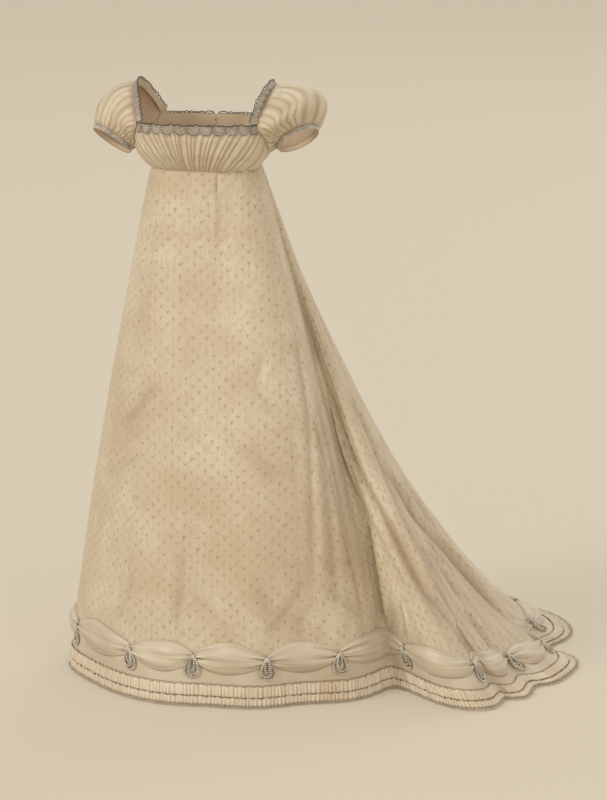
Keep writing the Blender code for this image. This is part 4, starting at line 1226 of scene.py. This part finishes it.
def make_bodice_front(silk, lining):
    """The gathered front of the bodice, with a plain lining inside."""
    columns = FRONT_GATHERS * 14 + 1
    share = np.linspace(0.0, 1.0, columns)
    degrees = even_degrees(-180.0 - FRONT_EDGE_DEG, FRONT_EDGE_DEG, GATHER_Z, columns)
    level = 90.0 + FRONT_CORNER_DEG
    fall = np.clip((abs(degrees + 90.0) - level) / (90.0 + FRONT_EDGE_DEG - level), 0.0, None)
    high = FRONT_NECK_Z + (UNDERARM_Z - FRONT_NECK_Z) * fall ** 0.8
    base, r = bodice_base(degrees, high, FRONT_ROWS)
    normals = grid_normals(base)
    depth = (FRONT_NECK_Z - base[:, :, 2]) / (FRONT_NECK_Z - WAIST_Z)
    side = np.where(share < FAN_SHARE, share / FAN_SHARE, (1 - share) / (1 - FAN_SHARE))
    turn = FAN_LEAN * np.sin(pi * side) * np.sign(FAN_SHARE - share + 1e-6)
    turn = turn * smooth(abs(share - FAN_SHARE) / 0.05)
    place = share * (FRONT_GATHERS + 1) - turn * depth * 1.25
    wave = pleat_wave(place, 0.85, 0.6)
    broken = abs(np.sin(pi * (2.0 * place + 0.35 * np.sin(3 * place + 4 * depth))))
    wave = wave * (0.86 + 0.14 * broken * depth)
    ends = smooth(r / 0.06)
    sides = smooth(np.minimum(share, 1 - share) / 0.025)
    height = (GATHER_RISE * wave * (0.70 + 0.30 * np.sin(pi * r)) + 0.0004) * sides
    height = height * (0.35 + 0.65 * ends) + 0.0012 * np.sin(pi * r) * sides
    outer = base + normals * (SILK + height)[:, :, None]
    outer[0, :, 2] = base[0, :, 2]
    shade = gather_shade(wave) * sides + 0.35 * (1 - ends) + 0.25 * (1 - sides)
    piece = shell("bodice_front_cloth", ["bodice_front"], outer, base + normals * CLOTH_BACK, silk,
                  shade=np.clip(shade, -0.5, 1))
    declare(outer)
    plain = base[::3, ::2]
    inside = shell("bodice_front_lining", [], plain + normals[::3, ::2] * LINING_FACE, plain,
                   lining)
    declare(plain)


def make_bodice_rest(silk, lining):
    """The two plain sides and two backs of the bodice, with a plain lining inside."""
    for kind, first, last in (("side", FRONT_EDGE_DEG, SIDE_BACK_DEG),
                              ("back", SIDE_BACK_DEG, 90.0)):
        share = np.linspace(0.0, 1.0, SIDE_STEPS)
        degrees = first + (last - first) * share
        if kind == "side":
            climb = np.clip(degrees / SIDE_BACK_DEG, 0, None) ** 2
            high = UNDERARM_Z + (SIDE_BACK_Z - UNDERARM_Z) * climb
        else:
            fall = np.clip((BACK_CORNER_DEG - degrees) / (BACK_CORNER_DEG - SIDE_BACK_DEG), 0, None)
            high = BACK_NECK_Z + (SIDE_BACK_Z - BACK_NECK_Z) * fall
        base, r = bodice_base(degrees, high, SIDE_ROWS)
        normals = grid_normals(base)
        drag = 0.0006 * np.sin(share * 9 + r * 5) * np.sin(pi * r)
        if kind == "back":
            pull = pleat_wave(share * 16, 0.9, 1.1)
            drag = drag + 0.0016 * pull * smooth((0.45 - r) / 0.45) * smooth(share / 0.2)
        outer = base + normals * (SILK + np.clip(drag, -0.0004, None))[:, :, None]
        outer[0, :, 2] = base[0, :, 2]
        seam = smooth((0.03 - np.minimum(share, 1 - share)) / 0.03)
        shade = np.clip(0.45 * seam + 0.3 * smooth((0.05 - r) / 0.05), 0, 1)
        grids = [outer, base + normals * CLOTH_BACK, base + normals * LINING_FACE, base]
        for hand in HANDS:
            if hand == "right":
                grids = [mirrored(grid) for grid in grids]
                shade = shade[:, ::-1]
            name = "bodice_%s_%s" % (kind, hand)
            piece = shell(name + "_cloth", [name], grids[0], grids[1], silk, shade=shade)
            declare(grids[0])
            inside = shell(name + "_lining", [], grids[2], grids[3], lining)
            declare(grids[3])


def strap_frame(steps):
    """The left strap's middle line, with its directions across and out."""
    path = np.array(STRAP_PATH)
    spans = np.linalg.norm(np.diff(path, axis=0), axis=1)
    lengths = np.concatenate([[0.0], np.cumsum(spans)])
    places = np.linspace(0.0, lengths[-1], steps)
    line = along_rows(places, lengths, path)
    for _ in range(steps // 6):
        line[1:-1] = (line[:-2] + line[1:-1] * 2 + line[2:]) / 4
    along = unit(np.gradient(line, axis=0))
    out = unit(line - np.array(STRAP_BEND_CENTRE))
    across = unit(np.cross(along, out))
    return line, across, unit(np.cross(across, along)), places


def make_straps(silk):
    """The two shoulder straps, with a few drawn creases."""
    line, across, out, places = strap_frame(90)
    wide = np.linspace(-1.0, 1.0, STRAP_ROWS)[:, None]
    inner = line[None] + across[None] * (wide * STRAP_WIDTH / 2)[:, :, None]
    for end, step, spread, top in ((0, 1, STRAP_FRONT_DEG, FRONT_NECK_Z),
                                   (-1, -1, STRAP_BACK_SPREAD, BACK_NECK_Z)):
        inner[:, end] = body_points(np.linspace(*spread, STRAP_ROWS), top + SEAM_GAP)
        for k in range(1, STRAP_BLEND):
            at = end + k * step
            keep = smooth(k / STRAP_BLEND)
            target = inner[:, end] + (line[at] - line[end])[None]
            inner[:, at] = inner[:, at] * keep + target * (1 - keep)
    fold = 0.0006 * (1 + np.sin(places * 190)[None, :]) * (1 - wide ** 2)
    outer = inner + out[None] * (SILK + fold)[:, :, None]
    for hand in HANDS:
        if hand == "right":
            outer, inner = mirrored(outer), mirrored(inner)
        node = "shoulder_strap_" + hand
        piece = shell(node + "_cloth", [node], outer, inner, silk)
        declare(outer)


def rings_in(points_at, k, depth, rings, turn, lift):
    """Small closed loops inside one scallop, each given by place, drop, width and height."""
    return [(points_at(k + spot + wide * np.cos(turn), depth * (drop + tall * np.sin(turn)), lift),
             True) for spot, drop, wide, tall in rings]


def picots(points_at, count, foot, tall, uneven, phases, lift):
    """Low arches that stand along the top of a lace, two to a scallop."""
    paths = []
    a = np.linspace(0.0, pi, 12)
    for k in range(count):
        for start in PICOT_STARTS:
            place = k + start + PICOT_HALF - PICOT_HALF * np.cos(a)
            rise = tall + uneven * sin(k * phases[0] + start * phases[1])
            paths.append((points_at(place, foot - rise * np.sin(a), lift), False))
    return paths


def make_front_lace(threads, net, dark):
    """The deep scalloped lace across the front of the neck."""
    edge = 90.0 + FRONT_CORNER_DEG - FRONT_LACE_INSET_DEG / 4
    low = SILK + FRONT_GATHER_HEIGHT + 2 * SEAM_GAP
    degrees = even_degrees(-90.0 - edge, -90.0 + edge, FRONT_NECK_Z, FRONT_LACE_STEPS)
    out = unit(body_points(degrees, FRONT_NECK_Z) * LEVEL)
    run = np.linspace(0.0, FRONT_SCALLOPS, FRONT_LACE_STEPS)

    def points_at(place, drop, lift):
        """Points at places in scallops, down the lace and out from the bodice."""
        base = body_points(np.interp(place, run, degrees), FRONT_NECK_Z + FRONT_LACE_RISE - drop)
        rise = np.asarray(low + lift)[..., None]
        return base + unit(along_rows(place, run, out)) * rise

    depth = FRONT_LACE_DEPTH
    petals = 0.70 + 0.26 * abs(np.sin(pi * run)) ** 0.7
    rows = np.linspace(1.0, 0.0, LACE_ROWS)[:, None]
    drop = depth * petals * rows
    puff = 0.0013 * abs(np.sin(pi * run)) ** 0.6 * np.sin(pi * rows) ** 0.6
    grain = 0.00035 * np.sin(run * 43) * np.sin(rows * 37)
    place = np.broadcast_to(run, drop.shape)
    outer = points_at(place, drop, 0.0006 + puff + grain)
    inner = points_at(place, drop, 0.0)
    shade = np.clip(1 - puff / 0.0011, 0, 1) * 0.6
    piece = shell("neck_lace_front_net", ["neck_lace_front"], outer, inner, net, shade=shade)
    declare(outer)
    paths = []
    a = np.linspace(0.0, pi, 16)
    turn = 2 * pi * np.arange(22) / 22
    for k in range(FRONT_SCALLOPS):
        size = 1.0 + 0.10 * sin(k * 2.7)
        rim = points_at(k + 0.5 - 0.54 * np.cos(a) * size, depth * (0.52 + 0.48 * np.sin(a) * size),
                        0.0014)
        paths.append((rim, False))
        rim = points_at(k + 0.5 - 0.36 * np.cos(a), depth * (0.44 + 0.36 * np.sin(a)), 0.0016)
        paths.append((rim, False))
        paths += rings_in(points_at, k, depth, FRONT_RINGS, turn, 0.0018)
    tubes("neck_lace_front_threads", [], paths, 0.00070, threads, 5)
    # The picots are lace threads; their near-black colour also paints the shadow line along the top
    # of the lace.
    arches = picots(points_at, FRONT_SCALLOPS, 0.0014, 0.0030, 0.0016, (3.7, 5), 0.0010)
    tubes("neck_lace_front_picot", [], arches, 0.0013, dark)


def make_edge_lace(threads, net, dark):
    """The narrow lace along the straps and the back of the neck."""
    line, across, out = [grid[:-4] for grid in strap_frame(140)[:3]]
    along = unit(np.gradient(line, axis=0))
    facing = unit(np.cross(along, np.array([0.0, -1.0, 0.0])))
    turn = LACE_FACING * smooth(-line[:, 1] / 0.02)[:, None]
    hinge = line - across * (STRAP_WIDTH / 2 + 0.0035)
    across = unit(across * (1 - turn) + facing * turn)
    out = unit(np.cross(across, along))
    run = np.linspace(0.0, STRAP_SCALLOPS, len(line))

    def strap_at(place, drop, lift):
        """Points along the left strap, down the lace and out from the strap."""
        reach = np.asarray(drop)[..., None]
        rise = np.asarray(SILK + 2 * SEAM_GAP + 0.0006 + lift)[..., None]
        return (along_rows(place, run, hinge) + along_rows(place, run, across) * reach
                + along_rows(place, run, out) * rise)

    degrees = np.linspace(*BACK_LACE_DEG, 160)
    back_run = np.linspace(0.0, BACK_SCALLOPS, 160)

    def back_at(place, drop, lift):
        """Points along the left back neck, down the lace and out from the back."""
        base = body_points(np.interp(place, back_run, degrees), BACK_NECK_Z + BACK_LACE_RISE - drop)
        return base + unit(base * LEVEL) * np.asarray(SILK + 2 * SEAM_GAP + lift)[..., None]

    ring = 2 * pi * np.arange(14) / 14
    a = np.linspace(0.0, pi, 12)
    for kind, at, last, depth in (("strap", strap_at, STRAP_SCALLOPS, STRAP_LACE_DEPTH),
                                  ("back", back_at, BACK_SCALLOPS, EDGE_LACE_DEPTH)):
        scale = np.linspace(0.0, last, last * 16 + 1)
        rows = np.linspace(1.0, 0.0, LACE_ROWS)[:, None]
        petal = 0.72 + 0.28 * abs(np.sin(pi * scale)) ** 0.7
        drop = depth * (0.12 + 0.88 * petal * rows)
        puff = 0.0011 * abs(np.sin(pi * scale)) ** 0.6 * np.sin(pi * rows)
        place = np.broadcast_to(scale, drop.shape)
        shade = np.clip(1 - puff / 0.0009, 0, 1) * 0.6
        for hand, mirror in zip(HANDS, (np.ones(3), MIRROR)):

            def placed(place, drop, lift, at=at, mirror=mirror):
                """The same points on either side of the dress."""
                return at(place, drop, lift) * mirror

            outer, inner = placed(place, drop, 0.0006 + puff), placed(place, drop, 0.0)
            if hand == "right":
                outer, inner = outer[:, ::-1], inner[:, ::-1]
            node = "neck_lace_%s_%s" % (kind, hand)
            piece = shell(node + "_net", [node], outer, inner, net, shade=shade)
            declare(outer)
            paths = []
            for k in range(last):
                paths.append((placed(k + 0.5 - 0.5 * np.cos(a), depth * (0.5 + 0.5 * np.sin(a)),
                                     0.0012), False))
                paths += rings_in(placed, k, depth, EDGE_RINGS, ring, 0.0014)
            tubes(node + "_threads", [], paths, 0.0007, threads, 5)
            arches = picots(placed, last, 0.0012, 0.0026, 0.0010, (3.1, 4), 0.0008)
            tubes(node + "_picot", [], arches, 0.0012, dark, 5)


def sleeve_points(turn, share, centre, reach, rise, fullness):
    """Points of a sleeve built on the left, over grids of turn and share."""
    loop = closed_curve(ARMHOLE, [0, 1, 2], ARMHOLE_STEPS, 0.0)
    place = turn / (2 * pi) * len(loop) % len(loop)
    before = place.astype(int) % len(loop)
    start = loop[before] + (loop[(before + 1) % len(loop)] - loop[before]) * (place % 1)[..., None]
    axis = unit(np.array(CUFF_NORMAL))
    forward = np.array([0.0, -1.0, 0.0])
    front = unit(forward - axis * np.dot(forward, axis))
    top = np.cross(front, axis)
    c, s = np.cos(turn)[..., None], np.sin(turn)[..., None]
    radial = front * s + top * c
    end = np.array(centre) + radial * CUFF_RADIUS
    spread = np.concatenate([np.zeros_like(s), -s, c], axis=-1)
    upper = 0.5 + 0.5 * c
    first = start + np.array([1.0, 0.0, 0.0]) * (0.004 + reach * upper)
    first = first + spread * (0.004 + rise * upper)
    second = end - axis * (0.007 + 0.008 * abs(s) + (0.008 + 0.20 * fullness) * upper)
    second = second + radial * (0.002 + (0.006 + fullness) * upper + 0.018 * s * s)
    t = share[..., None]
    point = (1 - t) ** 3 * start + 3 * (1 - t) ** 2 * t * first
    return point + 3 * (1 - t) * t * t * second + t ** 3 * end


def make_sleeve(side, centre, puff, silk, lining, bead, dark):
    """One puff sleeve with gathers from the armhole and the cuff, and its beaded braid."""
    turn = 2 * pi * np.arange(SLEEVE_STEPS) / SLEEVE_STEPS
    turn, share = np.broadcast_arrays(turn, np.linspace(0.0, 1.0, SLEEVE_ROWS)[:, None])
    base = sleeve_points(turn, share, centre, *puff)
    normals = grid_normals(base, closed=True)
    if np.sum(normals * (base - np.array(SLEEVE_CENTRE))) < 0:
        normals = -normals
    drift = 0.4 if side == "left" else 2.1
    twisted = turn - SLEEVE_TWIST * smooth(share * 1.25) * np.sin(turn)
    place = twisted * SLEEVE_FOLDS / (2 * pi) + 0.15 * np.sin(share * 2.4 + 2 * turn + drift)
    place = place + 0.12 * np.sin(share * 6.0 + 5 * turn - drift) * np.sin(pi * share)
    upper = 0.5 + 0.5 * np.cos(turn)
    wave = pleat_wave(place, 0.8, 0.0)
    puffs = np.sin(turn * 5 + share * 6 + drift) * np.sin(turn * 3 - share * 7 + 2 * drift)
    ends = smooth(np.minimum(share, 1 - share) / 0.10)
    high = SLEEVE_RISE * wave * (1.0 - 0.30 * np.sin(pi * share))
    height = (0.2 + 0.8 * ends) * (high + 0.0012 * (0.5 + 0.5 * puffs) * (0.4 + 0.6 * upper))
    outer = base + normals * (SILK + height)[:, :, None]
    inner = base + normals * CLOTH_BACK
    axis = unit(np.array(CUFF_NORMAL))
    for grid in (outer, inner):
        past = (grid[-1] - np.array(centre)) @ axis
        grid[-1] -= past[:, None] * axis
    keep = 1.0 - 0.45 * smooth(1.0 - abs(share - 0.47) / 0.22)
    shade = gather_shade(wave) * keep * ends + 0.35 * (1 - ends)
    shade = np.clip(shade + 0.22 * puffs, -0.5, 1)
    rim = sleeve_points(turn[:1], np.ones((1, SLEEVE_STEPS)), centre, *puff)[0]
    outward = unit(rim - np.array(centre))
    if side == "right":
        outer, inner, base = mirrored(outer), mirrored(inner), mirrored(base)
        shade, rim, outward, axis = shade[:, ::-1], rim * MIRROR, outward * MIRROR, axis * MIRROR
    outer, inner, shade = outer[::-1], inner[::-1], shade[::-1]
    node = "sleeve_" + side
    piece = shell(node + "_cloth", [node], outer, inner, silk, closed=True, shade=shade)
    declare(outer, closed=True)
    middle, inside = base[::-3, ::4], inner[::3, ::4]
    lined = shell(node + "_lining", [], inside - unit(inside - middle) * 0.0003, middle, lining,
                  closed=True)
    declare(middle, closed=True)
    make_cuff(side, rim, axis, outward, lining, bead, dark)


def make_cuff(side, rim, axis, outward, lining, bead, dark):
    """The cuff's three rows of beads between two cords, on a tape."""
    node = "cuff_braid_" + side
    places, sizes = [], []
    for row, (down, radius, lift) in enumerate(CUFF_ROWS):
        count = int(2 * pi * CUFF_RADIUS / (2.05 * radius))
        for k in range(count):
            spot = int((k + 0.5 * (row % 2)) / count * SLEEVE_STEPS) % SLEEVE_STEPS
            places.append(rim[spot] + axis * (2 * SEAM_GAP + down) + outward[spot] * lift)
            sizes.append(radius * (0.94 + 0.12 * random.random()))
    beads(node + "_beads", [node], places, sizes, bead)
    cords = [(rim[::3] + axis * down + outward[::3] * 0.0006, True) for down in CUFF_CORDS]
    tubes(node + "_cords", [], cords, 0.0008, dark)
    grid = np.stack([rim + axis * (BRAID_WIDTH + 0.0006), rim + axis * (2 * SEAM_GAP)])
    strip = shell(node + "_tape", [], grid + outward * 0.0008, grid, lining, closed=True)
    declare(grid, closed=True)


def make_seams(cord, dark):
    """The corded waist seam, and the hooks at the centre back."""
    line = body_points(np.linspace(-180.0, 180.0, 241)[:-1], WAIST_Z)
    line = line + unit(line * LEVEL) * (SILK + 0.0008)
    tubes("waist_cord", [], [(line, True)], 0.0010, cord)
    hooks = []
    a = np.linspace(0.0, 1.7 * pi, 12)
    for k in range(HOOKS):
        z = BACK_NECK_Z - 0.012 - 0.022 * k
        middle = body_points(90.0, z) - np.array([0.0, 0.0012, 0.0])
        spread = np.stack([np.cos(a), np.zeros_like(a), np.sin(a)], axis=-1)
        hooks.append((middle + HOOK_RADIUS * spread, False))
    tubes("back_hooks", [], hooks, 0.0004, dark, 5)


def aim(thing, spot, target):
    """Put a lamp or the camera at a spot, turned to a target."""
    thing.location = spot
    thing.rotation_euler = (Vector(target) - Vector(spot)).to_track_quat("-Z", "Y").to_euler()


def make_stage():
    """The plain pale floor, soft lights and the camera at the photograph's angle."""
    mesh = bpy.data.meshes.new("floor")
    z = FLOOR_Z - 0.0005
    corners = [(x * FLOOR_HALF, y * FLOOR_HALF, z) for x, y in ((-1, -1), (1, -1), (1, 1), (-1, 1))]
    mesh.from_pydata(corners, [], [(0, 1, 2, 3)])
    floor = link("floor", mesh)
    kit = Material("floor", 0.9)
    kit.shader.inputs["Emission Color"].default_value = (*FLOOR_GLOW, 1.0)
    kit.shader.inputs["Emission Strength"].default_value = 1.0
    mesh.materials.append(kit.colour((*FLOOR, 1.0)))
    scene = bpy.context.scene
    scene.world = bpy.data.worlds.new("studio")
    scene.world.use_nodes = True
    sky = scene.world.node_tree.nodes["Background"]
    sky.inputs["Color"].default_value = (*SKY, 1.0)
    sky.inputs["Strength"].default_value = SKY_STRENGTH
    for name, spot, power, width, colour in LIGHTS:
        lamp = bpy.data.lights.new(name, "AREA")
        lamp.energy, lamp.size, lamp.color = power, width, colour
        aim(link(name, lamp), spot, LIGHT_AIM)
    lens = bpy.data.cameras.new("camera")
    lens.sensor_fit = "VERTICAL"
    lens.sensor_height = 36.0
    lens.lens = CAMERA_LENS
    scene.camera = link("camera", lens)
    aim(scene.camera, CAMERA_PLACE, CAMERA_AIM)
    scene.view_settings.view_transform = "Standard"


def main():
    """Make every piece, then the stage."""
    silk = silk_material("figured_silk", True)
    plain = silk_material("gathered_silk", False)
    satin = satin_material()
    flounce = flounce_material()
    lining = lining_material()
    threads = lace_material("lace_threads", LACE_PALE, LACE_PALE, LACE_DARK, 0.0)
    net = lace_material("lace_net", LACE_BASE, LACE_PALE, LACE_DARK, 0.0)
    dark = lace_material("picot", PICOT_DARK, LACE_DARK, PICOT_DARK, 0.0)
    edge = lace_material("flounce_edge", EDGE_BROWN, SILK_TAN, FOLD_SHADE_AND_WEAR_BROWN, 0.0)
    bead = lace_material("beads", BEAD_BASE, BEAD_PALE, BEAD_DARK, 0.35)
    skirt = Skirt()
    make_skirt(skirt, silk)
    make_band(skirt, satin)
    make_flounces(skirt, flounce, edge, threads)
    make_swags(skirt, satin)
    make_pendants(skirt, bead, edge)
    make_bodice_front(plain, lining)
    make_bodice_rest(plain, lining)
    make_straps(plain)
    make_front_lace(threads, net, dark)
    make_edge_lace(threads, net, dark)
    for side, centre, *puff in SLEEVES:
        make_sleeve(side, centre, puff, plain, lining, bead, edge)
    make_seams(plain, dark)
    make_stage()


main()
